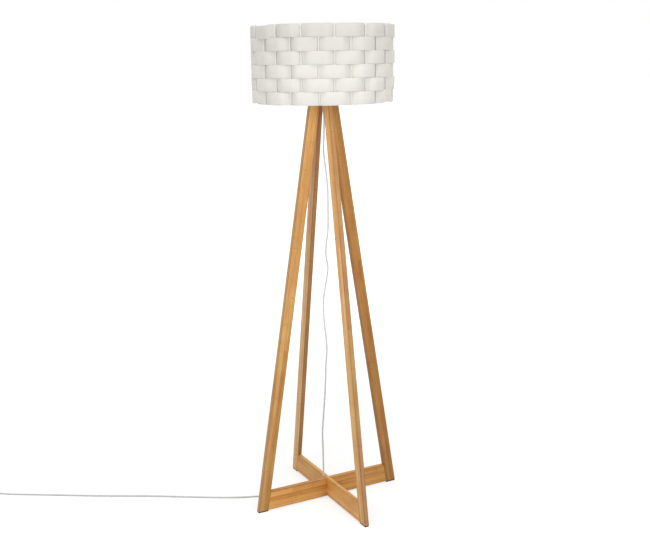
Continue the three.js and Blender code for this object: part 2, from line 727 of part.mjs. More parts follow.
// The top and the bottom strip are notched where a stake in front of them turns in to its hoop.
function stripNotches(row) {
  const atTop = row === 0;
  if (!atTop && row !== STRIP_ROWS - 1) {
    return [];
  }
  const size = STAKE_DIAMETER + 2 * GAP;
  const height = HOOP_INSET + size / 2 + OVERRUN;
  const centreZ = atTop ? topHoopZ - size / 2 + height / 2 : bottomHoopZ + size / 2 - height / 2;
  const notches = [];
  for (let stake = row % 2; stake < stakes; stake += 2) {
    const notch = block(WAVE_DEPTH, size, height, [valleyRadius, 0, centreZ]);
    notches.push(notch.rotateZ(stakeAngle(stake)));
  }
  return notches;
}

// The wire frame. Each stake turns in to both hoops.
function shadeFrameGeometry() {
  const cornerAngle = FIRST_VALLEY + HOOP_CORNER_SHARE / stakes * TURN;
  const hoop = (z) => {
    const section = circle(HOOP_DIAMETER, 5, QUARTER).map(([x, y]) => [hoopRadius + x, z + y]);
    return ringed(section, 2 * stakes).rotateZ(cornerAngle);
  };
  const stake = tubeThrough([
    new THREE.Vector3(hoopRadius, 0, bottomHoopZ),
    new THREE.Vector3(stakeRadius, 0, bottomHoopZ),
    new THREE.Vector3(stakeRadius, 0, topHoopZ),
    new THREE.Vector3(hoopRadius, 0, topHoopZ),
  ], STAKE_DIAMETER, 6, new THREE.Vector3(0, 1, 0));
  const pieces = [hoop(bottomHoopZ), hoop(topHoopZ)];
  for (let i = 0; i < stakes; i += 1) {
    pieces.push(stake.clone().rotateZ(stakeAngle(i)));
  }
  return join(pieces);
}

// The fitter: a flat ring on the lampholder with arms that slope down to the lower hoop.
function fitterGeometry() {
  const plate = ringed([
    [ringBore, fitterZ],
    [FITTER_DIAMETER / 2, fitterZ],
    [FITTER_DIAMETER / 2, fitterTop],
    [ringBore, fitterTop],
  ], 30);
  const from = new THREE.Vector3((RING_FLANGE_DIAMETER + FITTER_DIAMETER) / 4, 0, fitterZ);
  const armReach = hoopRadius - HOOP_DIAMETER / 2 - ARM_DIAMETER / 4 - GAP;
  const to = new THREE.Vector3(armReach, 0, bottomHoopZ);
  const length = from.distanceTo(to);
  const drop = Math.atan2(from.z - to.z, to.x - from.x);
  const pieces = [plate];
  for (let i = 0; i < ARM_COUNT; i += 1) {
    const arm = lying(ARM_DIAMETER, length, [length / 2, 0, 0], 8);
    arm.rotateY(drop).translate(from.x, 0, from.z).rotateZ(i / ARM_COUNT * TURN);
    pieces.push(arm);
  }
  return join(pieces);
}

function buildShade() {
  add('shade_frame', shadeFrameGeometry(), whiteWire());
  add('shade_fitter', fitterGeometry(), whiteWire());
  for (let row = 0; row < STRIP_ROWS; row += 1) {
    add(`shade_strip_${row + 1}`, stripGeometry(row), whiteStrip());
  }
}

// Coil: one unbroken tube that spirals in, climbs a layer where it turns back, and spirals out.
class CoilCurve extends THREE.Curve {
  getPoint(share, target = new THREE.Vector3()) {
    const turns = share * 2 * COIL_TURNS_PER_LAYER;
    const fromMiddle = turns - COIL_TURNS_PER_LAYER;
    const radius = COIL_INNER_RADIUS + coilPitch * Math.abs(fromMiddle);
    const climb = THREE.MathUtils.smoothstep(fromMiddle, -0.25, 0.25);
    const angle = turns * TURN - QUARTER;
    const height = coilBottomZ + coilPitch * climb;
    return target.set(radius * Math.cos(angle), radius * Math.sin(angle), height);
  }
}

// The coil's whole centre line, with a straight end of one diameter before and after.
function coilLine() {
  const curve = new CoilCurve();
  const steps = Math.round(2 * COIL_TURNS_PER_LAYER * COIL_STEPS);
  const points = curve.getPoints(steps);
  const lead = new THREE.Vector3(-CORD_DIAMETER, -coilOuterRadius, coilBottomZ);
  const exit = new THREE.Vector3(-CORD_DIAMETER, coilOuterRadius, coilTopZ);
  return [lead, ...points, exit];
}

function printLeastGap(points) {
  let least = Infinity;
  const apart = COIL_STEPS / 2;
  points.forEach((point, i) => {
    points.slice(i + apart).forEach((other) => {
      least = Math.min(least, point.distanceTo(other));
    });
  });
  console.log(`least gap of the coil to itself: ${(least - CORD_DIAMETER).toFixed(2)} mm`);
}

// A tapered sleeve that a cord enters at its thin end, at x = 0. It widens towards +X.
function sleeveGeometry(inset) {
  return turned([
    [0, 0],
    [CORD_DIAMETER / 2 + RELIEF_BACK_WALL, 0],
    [RELIEF_FRONT_DIAMETER / 2, RELIEF_LENGTH],
    [RELIEF_FRONT_DIAMETER / 2, RELIEF_LENGTH + inset],
    [0, RELIEF_LENGTH + inset],
  ], 12).rotateY(QUARTER);
}

// Switch: a base and a cover, each hollowed, and a rocker on a pivot in the cover's window.
// A sleeve at either end belongs to the base, and the cover is notched round it.
function stadium(length, width) {
  const radius = width / 2;
  const straight = length / 2 - radius;
  const points = [];
  const steps = 8;
  for (let i = 0; i <= steps; i += 1) {
    const angle = -QUARTER + i / steps * Math.PI;
    points.push([straight + radius * Math.cos(angle), radius * Math.sin(angle)]);
  }
  const half = points.map(([x, y]) => [-x, -y]);
  return [...points, ...half];
}

function buildSwitch(parent, cordZ) {
  const middle = SWITCH_LENGTH / 2;
  const place = (geometry) => geometry.translate(middle, 0, 0);
  const outline = stadium(SWITCH_LENGTH, SWITCH_WIDTH);
  const pocket = stadium(SWITCH_LENGTH - 2 * SWITCH_WALL, SWITCH_WIDTH - 2 * SWITCH_WALL);
  const splitZ = SWITCH_BASE_HEIGHT + GAP;
  const coverTop = splitZ + SWITCH_COVER_HEIGHT;
  const pivotZ = coverTop - PIVOT_DEPTH;
  const rockerRadius = pivotZ - SWITCH_WALL - ROCKER_FLOOR_GAP;

  const sleeve = sleeveGeometry(2 * SWITCH_WALL).translate(-middle - RELIEF_LENGTH, 0, cordZ);
  const sleeves = [sleeve, sleeve.clone().rotateZ(Math.PI)];
  const base = raised(outline, SWITCH_BASE_HEIGHT);
  const basePocket = raised(pocket, SWITCH_BASE_HEIGHT, SWITCH_WALL);
  const tray = cut(base, [basePocket]);
  add('switch_base', place(join([tray, ...sleeves])), whitePlastic(), parent);

  const cover = raised(outline, SWITCH_COVER_HEIGHT, splitZ);
  const well = raised(pocket, SWITCH_COVER_HEIGHT, splitZ - SWITCH_WALL);
  const windowWidth = ROCKER_WIDTH + 2 * GAP;
  const cheekWidth = (SWITCH_WIDTH - windowWidth) / 2;
  const cheeks = [-1, 1].map((side) => {
    const centre = [0, side * (windowWidth + cheekWidth) / 2, splitZ];
    return block(CHEEK_LENGTH, cheekWidth, 2 * SWITCH_COVER_HEIGHT, centre);
  });
  const window = block(2 * rockerRadius + 2 * GAP, windowWidth, SWITCH_COVER_HEIGHT, [0, 0, coverTop]);
  const pivotLength = ROCKER_WIDTH + 2 * PIVOT_REACH;
  const pivotHole = lying(PIVOT_DIAMETER + 2 * GAP, pivotLength + 2 * GAP, [0, 0, 0])
    .rotateZ(QUARTER).translate(0, 0, pivotZ);
  const sleeveSpace = lying(RELIEF_FRONT_DIAMETER + 2 * GAP, 4 * SWITCH_WALL, [0, 0, 0]);
  const inlets = [-middle, middle].map((x) => sleeveSpace.clone().translate(x, 0, cordZ));
  const hollowed = cut(cover, [cut(well, cheeks), window, pivotHole, ...inlets]);
  add('switch_cover', place(hollowed), whitePlastic(), parent);

  // The rocker's top is a shallow V, so that one half lies flush while the other stands up.
  const disc = lying(2 * rockerRadius, ROCKER_WIDTH, [0, 0, 0], 24).rotateZ(QUARTER);
  const valleyHeight = PIVOT_DEPTH + GAP;
  const halves = [-1, 1].map((side) => {
    return block(2 * rockerRadius, 2 * ROCKER_WIDTH, rockerRadius, [side * rockerRadius, 0, rockerRadius / 2])
      .rotateY(-side * ROCKER_TILT).translate(0, 0, valleyHeight);
  });
  const pivot = lying(PIVOT_DIAMETER, pivotLength, [0, 0, 0], 12).rotateZ(QUARTER);
  const rocker = join([cut(disc, halves), pivot]);
  rocker.rotateY(ROCKER_TILT).translate(0, 0, pivotZ);
  add('switch_rocker', place(rocker), whitePlastic(), parent);
}

// Plug: a flat body with a tapered sleeve for the cord and two round pins. It points to -X.
function buildPlug(parent) {
  const startX = -CORD_DIAMETER - GAP;
  const sleeve = sleeveGeometry(2 * PLUG_BEVEL).rotateZ(Math.PI).translate(startX, 0, coilTopZ);

  const backX = startX - RELIEF_LENGTH;
  const frontX = backX - PLUG_LENGTH;
  const shoulderX = backX - PLUG_LENGTH / 2;
  const [back, front] = [PLUG_BACK_WIDTH / 2 - PLUG_BEVEL, PLUG_WIDTH / 2 - PLUG_BEVEL];
  const outline = [
    [backX - PLUG_BEVEL, -back], [backX - PLUG_BEVEL, back], [shoulderX, front],
    [frontX + PLUG_BEVEL, front], [frontX + PLUG_BEVEL, -front], [shoulderX, -front],
  ];
  const shape = new THREE.Shape(outline.map(([x, y]) => new THREE.Vector2(x, y)));
  const flatHeight = plugHeight - 2 * PLUG_BEVEL;
  const bevel = { bevelThickness: PLUG_BEVEL, bevelSize: PLUG_BEVEL, bevelSegments: 2 };
  const core = new THREE.ExtrudeGeometry(shape, { depth: flatHeight, ...bevel });
  core.translate(0, 0, PLUG_BEVEL);

  const plug = new THREE.Group();
  plug.position.y = coilOuterRadius;
  parent.add(plug);
  add('plug_body', join([core, sleeve]), whitePlastic(), plug);
  [-1, 1].forEach((side, i) => {
    const pinX = frontX - GAP - PIN_LENGTH / 2;
    const pin = lying(PIN_DIAMETER, PIN_LENGTH, [pinX, side * PIN_SPACING / 2, coilTopZ], 12);
    add(`plug_pin_${i + 1}`, pin, brass(), plug);
  });
}

// Tie: a thin band round the bundle of the coil's turns
function buildTie(parent) {
  const inside = COIL_INNER_RADIUS - CORD_DIAMETER / 2 - GAP;
  const outside = coilOuterRadius + CORD_DIAMETER / 2 + GAP;
  const low = coilBottomZ - CORD_DIAMETER / 2 - GAP;
  const high = coilTopZ + CORD_DIAMETER / 2 + GAP;
  const [length, height] = [outside - inside, high - low];
  const centre = [(inside + outside) / 2, 0, (low + high) / 2];
  const outer = block(length + 2 * TIE_THICKNESS, TIE_WIDTH, height + 2 * TIE_THICKNESS, centre);
  const inner = block(length, TIE_WIDTH + OVERRUN, height, centre);
  add('cord_tie', cut(outer, [inner]), whitePlastic(), parent);
}

// The free cord: a hanging and lying run, the switch, a short tail, the coil and the plug
function buildCord() {
  const start = new THREE.Vector3(0, 0, gripBottom - GAP);
  const route = CORD_ROUTE.map(([x, y, z]) => new THREE.Vector3(x, y, z));
  const curve = new THREE.CatmullRomCurve3([start, ...route], false, 'centripetal');
  const runSteps = 80;
  add('cord_run', tube(curve, CORD_DIAMETER, 8, runSteps), cordWhite());

  const end = route[route.length - 1];
  const before = route[route.length - 2];
  const heading = Math.atan2(end.y - before.y, end.x - before.x);
  const afterRun = new THREE.Group();
  afterRun.position.set(end.x, end.y, 0);
  afterRun.rotation.z = heading;
  lamp.add(afterRun);

  const inlet = new THREE.Group();
  inlet.position.x = GAP + RELIEF_LENGTH;
  afterRun.add(inlet);
  buildSwitch(inlet, end.z);

  const tailX = 2 * (GAP + RELIEF_LENGTH) + SWITCH_LENGTH;
  const coilX = tailX + TAIL_LENGTH + GAP + CORD_DIAMETER;
  const tailPoints = [
    new THREE.Vector3(tailX, 0, end.z),
    new THREE.Vector3(tailX + CORD_DIAMETER, 0, end.z),
    new THREE.Vector3(tailX + TAIL_LENGTH - CORD_DIAMETER, 0, coilBottomZ),
    new THREE.Vector3(tailX + TAIL_LENGTH, 0, coilBottomZ),
  ];
  const tailCurve = new THREE.CatmullRomCurve3(tailPoints);
  add('cord_tail', tube(tailCurve, CORD_DIAMETER, 8, 8), cordWhite(), afterRun);

  const coil = new THREE.Group();
  coil.position.set(coilX, coilOuterRadius, 0);
  afterRun.add(coil);
  const line = coilLine();
  printLeastGap(line);
  add('cord_coil', tubeThrough(line, CORD_DIAMETER, 6, new THREE.Vector3(0, 0, 1)), cordWhite(), coil);
  buildTie(coil);
  buildPlug(coil);
}

buildStand();
buildTop();
buildLampholder();
buildBulb();
buildShade();
buildCord();

export default lamp;
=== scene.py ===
"""A floor lamp: a woven drum shade on a stand of two crossed bamboo frames."""
import math
import random
from collections import namedtuple

import bmesh
import bpy
from mathutils import Matrix, Vector


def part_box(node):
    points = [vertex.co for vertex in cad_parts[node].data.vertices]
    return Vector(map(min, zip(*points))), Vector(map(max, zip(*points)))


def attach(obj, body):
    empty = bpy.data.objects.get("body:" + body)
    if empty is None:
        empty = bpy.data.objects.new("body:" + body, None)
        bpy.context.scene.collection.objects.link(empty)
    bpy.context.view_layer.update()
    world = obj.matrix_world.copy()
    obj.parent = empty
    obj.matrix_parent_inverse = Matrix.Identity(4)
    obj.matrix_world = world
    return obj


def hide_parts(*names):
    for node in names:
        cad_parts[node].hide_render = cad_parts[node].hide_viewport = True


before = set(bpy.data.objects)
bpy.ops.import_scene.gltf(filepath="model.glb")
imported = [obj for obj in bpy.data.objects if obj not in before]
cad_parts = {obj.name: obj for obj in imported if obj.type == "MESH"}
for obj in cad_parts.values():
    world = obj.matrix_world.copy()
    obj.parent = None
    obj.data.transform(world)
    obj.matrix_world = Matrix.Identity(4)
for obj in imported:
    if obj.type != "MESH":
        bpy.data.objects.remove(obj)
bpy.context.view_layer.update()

MM = 0.001
TURN = 2 * math.pi
UP = Vector((0, 0, 1))
GAP = 0.3 * MM

# The photograph's camera, as fitted to the stand and the shade
IMAGE_WIDTH_PX = 650
FOCAL_PX = 968.3
SENSOR_MM = 36
CAMERA_AZIMUTH = math.radians(27.686)
CAMERA_DISTANCE = 2.9105
CAMERA_HEIGHT = 1.3914
CAMERA_YAW = math.radians(0.023)
CAMERA_PITCH = math.radians(-12.761)
CAMERA_ROLL = math.radians(0.765)
# The direction from the lamp to that camera, as an angle round the Z axis
VIEW_ANGLE = -TURN / 4 - CAMERA_AZIMUTH

# Sizes of the shade, as in the CAD model
STRIP_ROWS = 6
STRIP_PITCH = 37 * MM
STRIP_THICKNESS = 1.2 * MM
BULGE_RADIUS = 209.5 * MM
WAVE_DEPTH = 12 * MM
BULGES = 13
STAKES = 2 * BULGES
FIRST_VALLEY = math.radians(-107)
STAKE_SHIFT_SHARES = [
    -0.09, -0.12, -0.12, -0.25, -0.17, -0.1, -0.05, 0, 0, 0, 0, 0, 0,
    0, 0, 0, 0, 0, 0, -0.07, -0.14, 0.29, 0.31, 0.32, 0, 0.02,
]
SPACE_SHARES = [1 + STAKE_SHIFT_SHARES[(i + 1) % STAKES] - STAKE_SHIFT_SHARES[i] for i in range(STAKES)]
STAKE_DIAMETER = 5 * MM
HOOP_DIAMETER = 3.5 * MM
HOOP_INSET = 4 * MM
VALLEY_RADIUS = BULGE_RADIUS - WAVE_DEPTH
FLANK_ANGLE = math.atan(WAVE_DEPTH * BULGES / 2 / VALLEY_RADIUS / min(SPACE_SHARES))
STAKE_RADIUS = VALLEY_RADIUS + (STAKE_DIAMETER / 2 + GAP) / math.cos(FLANK_ANGLE)
HOOP_RADIUS = VALLEY_RADIUS - STRIP_THICKNESS - GAP - HOOP_DIAMETER / 2
SHADE_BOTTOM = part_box("shade_strip_6")[0][2] - GAP / 2
SHADE_TOP = SHADE_BOTTOM + STRIP_ROWS * STRIP_PITCH

# The strips' edges, and their waves, which are softer in the valleys and fuller on the crests than a sine
STRIP_EDGE = 0.45 * MM
STRIP_STEPS_PER_BULGE = 26
VALLEY_SOFTNESS = 0.07
WAVE_FULLNESS = 1.45
BULGE_VARIATION_MM = (-0.9, 0.5)
STRIP_SEED = 100
# Fuller and flatter bulges at the drum's two sides, by their number, for the odd and for the even rows
SIDE_FULLNESS_MM = ({2: 2.4}, {2: -3.0, 9: 3.0})
# Bulges off their row's line, as in the photograph: the row, the angles from the camera's side between
# which they are, in degrees, and how far up they sit
SHIFTS_MM = (
    (0, -125, -43, -3.4),
    (0, 68, 130, -2.0),
    (STRIP_ROWS - 1, -125, -57, 3.6),
    (STRIP_ROWS - 1, 54, 130, 3.6),
)
ROW_WANDER = 0.35 * MM
# The shares of the wave between which a strip moves to its bulge's own height
SHIFT_START, SHIFT_END = 0.5, 0.9

# The shade's wire frame, and its fitter
STAKE_BEND = 3.4 * MM
HOOP_STEPS = 180
HOOP_SIDES = 12
WIRE_SIDES = 14
RING_THICKNESS = 1.5 * MM
RING_BORE_RADIUS = 20.1 * MM
RING_RIM_RADIUS = 36 * MM
RING_EDGE = 0.3 * MM
ARMS = 3
ARM_RADIUS = 1.75 * MM
ARM_ROOT = 29.5 * MM
ARM_SHOULDER = 37 * MM
ARM_KNEE = HOOP_RADIUS - 9 * MM
ARM_SHOULDER_BEND = 12 * MM
ARM_KNEE_BEND = 10 * MM
OVERLAP_AT_RING = 0.4 * MM
OVERLAP_AT_HOOP = 0.3 * MM

# Boards of the stand, and the end-jointed strips that they are laminated from
BOARD = 14 * MM
LEG_WIDTH = 33 * MM
LEG_LAMELLA = 11 * MM
RAIL_LAMELLA = 15 * MM
STRETCH_LENGTH = 0.31
KNOT_SPACING = 0.235
# Each board's name, the seed of its grain, and then for its broad and for its narrow faces a tint, partly
# the board's own tone and partly painted light and shade, and the brightness at both ends, which is painted
# light and shade along the board
LEG_TONES_AND_LIGHT = (
    ("back_right", 85.0, ((0.735, 0.65, 0.49), (0.87, 1.13)), ((0.7, 0.66, 0.62), (0.95, 1.05))),
    ("back_left", 53.0, ((1.11, 1.25, 1.68), (1.1, 0.84)), ((0.7, 0.605, 0.53), (0.84, 1.1))),
    ("front_left", 21.0, ((0.99, 1.02, 0.98), (0.9, 1.19)), ((0.8, 0.82, 0.88), (0.95, 1.05))),
    ("front_right", 137.0, ((1.09, 1.135, 1.19), (0.97, 1.22)), ((0.77, 0.81, 0.94), (0.95, 1.26))),
)
RAIL_TONES_AND_LIGHT = (
    ("along_x", 87.0, ((1.02, 0.965, 0.79), (1.08, 0.87)), ((1.04, 1.02, 0.85), (1.0, 1.0))),
    ("along_y", 57.0, ((1.12, 1.11, 1.03), (1.06, 1.04)), ((1.12, 1.13, 1.06), (1.04, 1.0))),
)
RAIL_DIRECTIONS = {"along_x": Vector((1, 0, 0)), "along_y": Vector((0, 1, 0))}

# Edge rounding of the stand's nodes, and the distance under which the points of a node are joined
LEG_EDGE = 0.9 * MM
RAIL_EDGE = 0.8 * MM
PAD_EDGE = 0.4 * MM
DOWEL_EDGE = 0.5 * MM
WELD_DISTANCE = 0.01 * MM

# The cord: its route from the grip to the switch, then its tail, and its coil of two layers
CORD_DIAMETER = 5 * MM
CORD_ROUTE_MM = [
    [0, 0, 1240], [2, -1, 1212], [1, 0, 1160], [0, 1, 1115], [6, -2, 1051], [9.5, -4, 1005],
    [10, -4, 935], [9, -3, 872], [5, 0, 833], [3, 1, 801], [8, -2, 757], [5, 0, 725],
    [-4, 5, 661], [-4, 5, 592], [3, 2, 503], [0, 4, 445], [-2, 5, 385], [-9, 9, 266],
    [-12, 11, 220], [-11, 11, 159], [-10.6, 10.7, 105], [-10.6, 10.7, 62], [-12, 11.5, 36],
    [-18.5, 15, 15], [-31, 21.6, 5.2], [-52, 32.5, 2.9], [-104, 58, 2.9], [-207, 101, 2.9],
    [-253, 119, 2.9], [-313, 151, 2.9], [-402, 206, 2.9], [-490, 262, 2.9], [-582, 316, 2.9],
    [-668, 366, 2.9], [-767, 427, 2.9], [-846, 475.8, 2.9], [-912, 516.7, 3.1], [-940, 534.1, 5.4],
    [-962, 547.8, 8.1],
]
SWITCH_LENGTH = 64 * MM
SLEEVE_LENGTH = 21 * MM
TAIL_LENGTH = 42 * MM
COIL_PITCH = 5.45 * MM
COIL_INNER_RADIUS = 20.5 * MM
COIL_TURNS_PER_LAYER = 1.75
COIL_BOTTOM_Z = 3.3 * MM
COIL_CLIMB_TURNS = 0.5
COIL_STEPS_PER_TURN = 48
RUN_STEPS = 8
TAIL_STEPS = 6

# The plug, from the thin end of its sleeve to its front face
SLEEVE_RIBS = 6
SLEEVE_RIB_PITCH = 2.6 * MM
SLEEVE_FIRST_RIB = 0.6   # in pitches from the thin end
SLEEVE_GROOVE = 0.45 * MM
# The groove beside a rib: shares of a pitch, and the depth there
GROOVE_PROFILE = ((0.3, 0), (0.45, SLEEVE_GROOVE), (0.75, SLEEVE_GROOVE), (0.9, 0))
SLEEVE_WALL = 0.5 * MM
SLEEVE_EDGE = 0.3 * MM
ROUND = 2.0   # the squareness of a round section
PLUG_SECTIONS_MM = [   # place along it, half width, half height, squareness
    [20, 5.3, 5.3, 2.0], [21.5, 6.2, 6.0, 2.2], [23, 7.4, 7.4, 2.6], [26, 8.8, 8.7, 3.0],
    [32, 11.0, 8.75, 3.4], [38.5, 13.1, 8.75, 4.0], [42, 13.4, 8.75, 4.2], [47, 12.7, 8.75, 4.2],
    [52, 13.5, 8.75, 4.4], [54.4, 13.5, 8.75, 4.4], [55.4, 13.1, 8.35, 4.4], [56, 12.1, 7.4, 4.2],
]

# The bulb's glass, from its neck to its crown
BULB_GLOBE_RADIUS = 30 * MM
BULB_NECK_RADIUS = 14 * MM
BULB_NECK_HEIGHT = 10 * MM
BULB_WALL = 1.2 * MM
BULB_STEPS = 16

# The floor, whose glow grows with the distance from the lamp, and the backdrop's light behind and ahead
# of the lamp, between two cosines of the angle from the camera's side
FLOOR_SIZE = 120
FLOOR_COLOUR = (0.5, 0.5, 0.5, 1)
GLOW_START, GLOW_END = 0.7, 2.3
GLOW_NEAR, GLOW_FAR = 0.6, 1.0
SKY_BEHIND, SKY_AHEAD = 0.48, 0.78
SKY_START, SKY_END = -0.3, 0.7

# Lights: name, place, what it points at, diameter in metres, power in watts
LIGHTS = (
    ("left", (-1.7, -1.0, 1.38), (0, 0, 1.1), 1.2, 11),
    ("front", (0.35, -1.8, 1.38), (0, 0, 1.1), 1.2, 10),
    ("top", (0, 0, 3.4), (0, 0, 0), 2.6, 20),
)


# Camera
def make_camera():
    azimuth = CAMERA_AZIMUTH
    place = Vector((-math.sin(azimuth), -math.cos(azimuth), 0)) * CAMERA_DISTANCE
    place.z = CAMERA_HEIGHT
    level = Vector((math.sin(azimuth), math.cos(azimuth), 0))
    level.rotate(Matrix.Rotation(CAMERA_YAW, 3, "Z"))
    right = Vector((level.y, -level.x, 0))
    ahead = level * math.cos(CAMERA_PITCH) + Vector((0, 0, math.sin(CAMERA_PITCH)))
    up = right.cross(ahead)
    rolled_right = right * math.cos(CAMERA_ROLL) - up * math.sin(CAMERA_ROLL)
    rolled_up = right * math.sin(CAMERA_ROLL) + up * math.cos(CAMERA_ROLL)
    camera = bpy.data.cameras.new("camera")
    camera.sensor_fit = "HORIZONTAL"
    camera.sensor_width = SENSOR_MM
    camera.lens = SENSOR_MM * FOCAL_PX / IMAGE_WIDTH_PX
    camera.clip_end = 50
    item = bpy.data.objects.new("camera", camera)
    axes = Matrix((rolled_right, rolled_up, -ahead)).transposed()
    item.matrix_world = Matrix.Translation(place) @ axes.to_4x4()
    bpy.context.collection.objects.link(item)
    bpy.context.scene.camera = item


# Shaders
class Graph:
    """A tree of nodes that grows one node at a time."""

    def __init__(self, tree):
        self.nodes = tree.nodes
        self.links = tree.links

    def node(self, kind, inputs=None, **settings):
        """Adds a node, whose inputs are values or the outputs of other nodes."""
        item = self.nodes.new(kind)
        for key, value in settings.items():
            setattr(item, key, value)
        for socket, value in (inputs or {}).items():
            if isinstance(value, bpy.types.NodeSocket):
                self.links.new(value, item.inputs[socket])
            else:
                item.inputs[socket].default_value = value
        return item

    def math(self, operation, first, second=0.0, third=0.0):
        inputs = {0: first, 1: second, 2: third}
        return self.node("ShaderNodeMath", inputs, operation=operation).outputs[0]

    def place(self):
        """The place in the object's own coordinates."""
        return self.node("ShaderNodeTexCoord").outputs["Object"]

    def vector(self, x, y, z):
        return self.node("ShaderNodeCombineXYZ", {0: x, 1: y, 2: z}).outputs[0]

    def dot(self, vector, direction):
        inputs = {0: vector, 1: direction}
        return self.node("ShaderNodeVectorMath", inputs, operation="DOT_PRODUCT").outputs["Value"]

    def scaled(self, vector, factors):
        inputs = {0: vector, 1: factors}
        return self.node("ShaderNodeVectorMath", inputs, operation="MULTIPLY").outputs[0]

    def length(self, vector):
        return self.node("ShaderNodeVectorMath", {0: vector}, operation="LENGTH").outputs["Value"]

    def noise(self, vector, scale, detail, roughness=0.5):
        inputs = {"Vector": vector, "Scale": scale, "Detail": detail, "Roughness": roughness}
        return self.node("ShaderNodeTexNoise", inputs).outputs["Fac"]

    def random(self, value):
        inputs = {"W": value}
        return self.node("ShaderNodeTexWhiteNoise", inputs, noise_dimensions="1D").outputs["Value"]

    def spread(self, value, low, high, out_low, out_high):
        """Maps low and high to out_low and out_high, and clamps what lies past them."""
        inputs = {0: value, 1: low, 2: high, 3: out_low, 4: out_high}
        return self.node("ShaderNodeMapRange", inputs).outputs[0]

    def ramp(self, value, stops):
        item = self.node("ShaderNodeValToRGB", {0: value})
        elements = item.color_ramp.elements
        while len(elements) < len(stops):
            elements.new(1.0)
        for element, (position, colour) in zip(elements, stops):
            element.position = position
            element.color = (*colour, 1)
        return item.outputs[0]

    def blend(self, share, first, second, mode="MIX"):
        """Mixes two colours, each of them three numbers or the output of a node."""
        inputs = {0: share}
        for index, colour in ((6, first), (7, second)):
            inputs[index] = colour if isinstance(colour, bpy.types.NodeSocket) else (*colour, 1)
        return self.node("ShaderNodeMix", inputs, data_type="RGBA", blend_type=mode).outputs[2]

    def tint(self, colour, by):
        return self.blend(1.0, colour, by, "MULTIPLY")


class Shader(Graph):
    """A material with one surface, whose sockets are set by their names or by nodes."""

    def __init__(self, name, **values):
        self.material = bpy.data.materials.new(name)
        self.material.use_nodes = True
        super().__init__(self.material.node_tree)
        self.surface = self.nodes["Principled BSDF"]
        for key, value in values.items():
            socket = key.replace("_", " ").title().replace("Ior", "IOR")
            self.surface.inputs[socket].default_value = value

    def colour(self, value):
        self.links.new(value, self.surface.inputs["Base Color"])

    def rough(self, value):
        self.links.new(value, self.surface.inputs["Roughness"])

    def bump(self, height, strength, distance):
        inputs = {"Height": height, "Strength": strength, "Distance": distance}
        normal = self.node("ShaderNodeBump", inputs).outputs[0]
        self.links.new(normal, self.surface.inputs["Normal"])


# A board: the directions of its length and its width, the middle and half of its width, its two ends
# along its length, and the width of the strips it is laminated from
Board = namedtuple("Board", "along across centre half_width ends lamella")


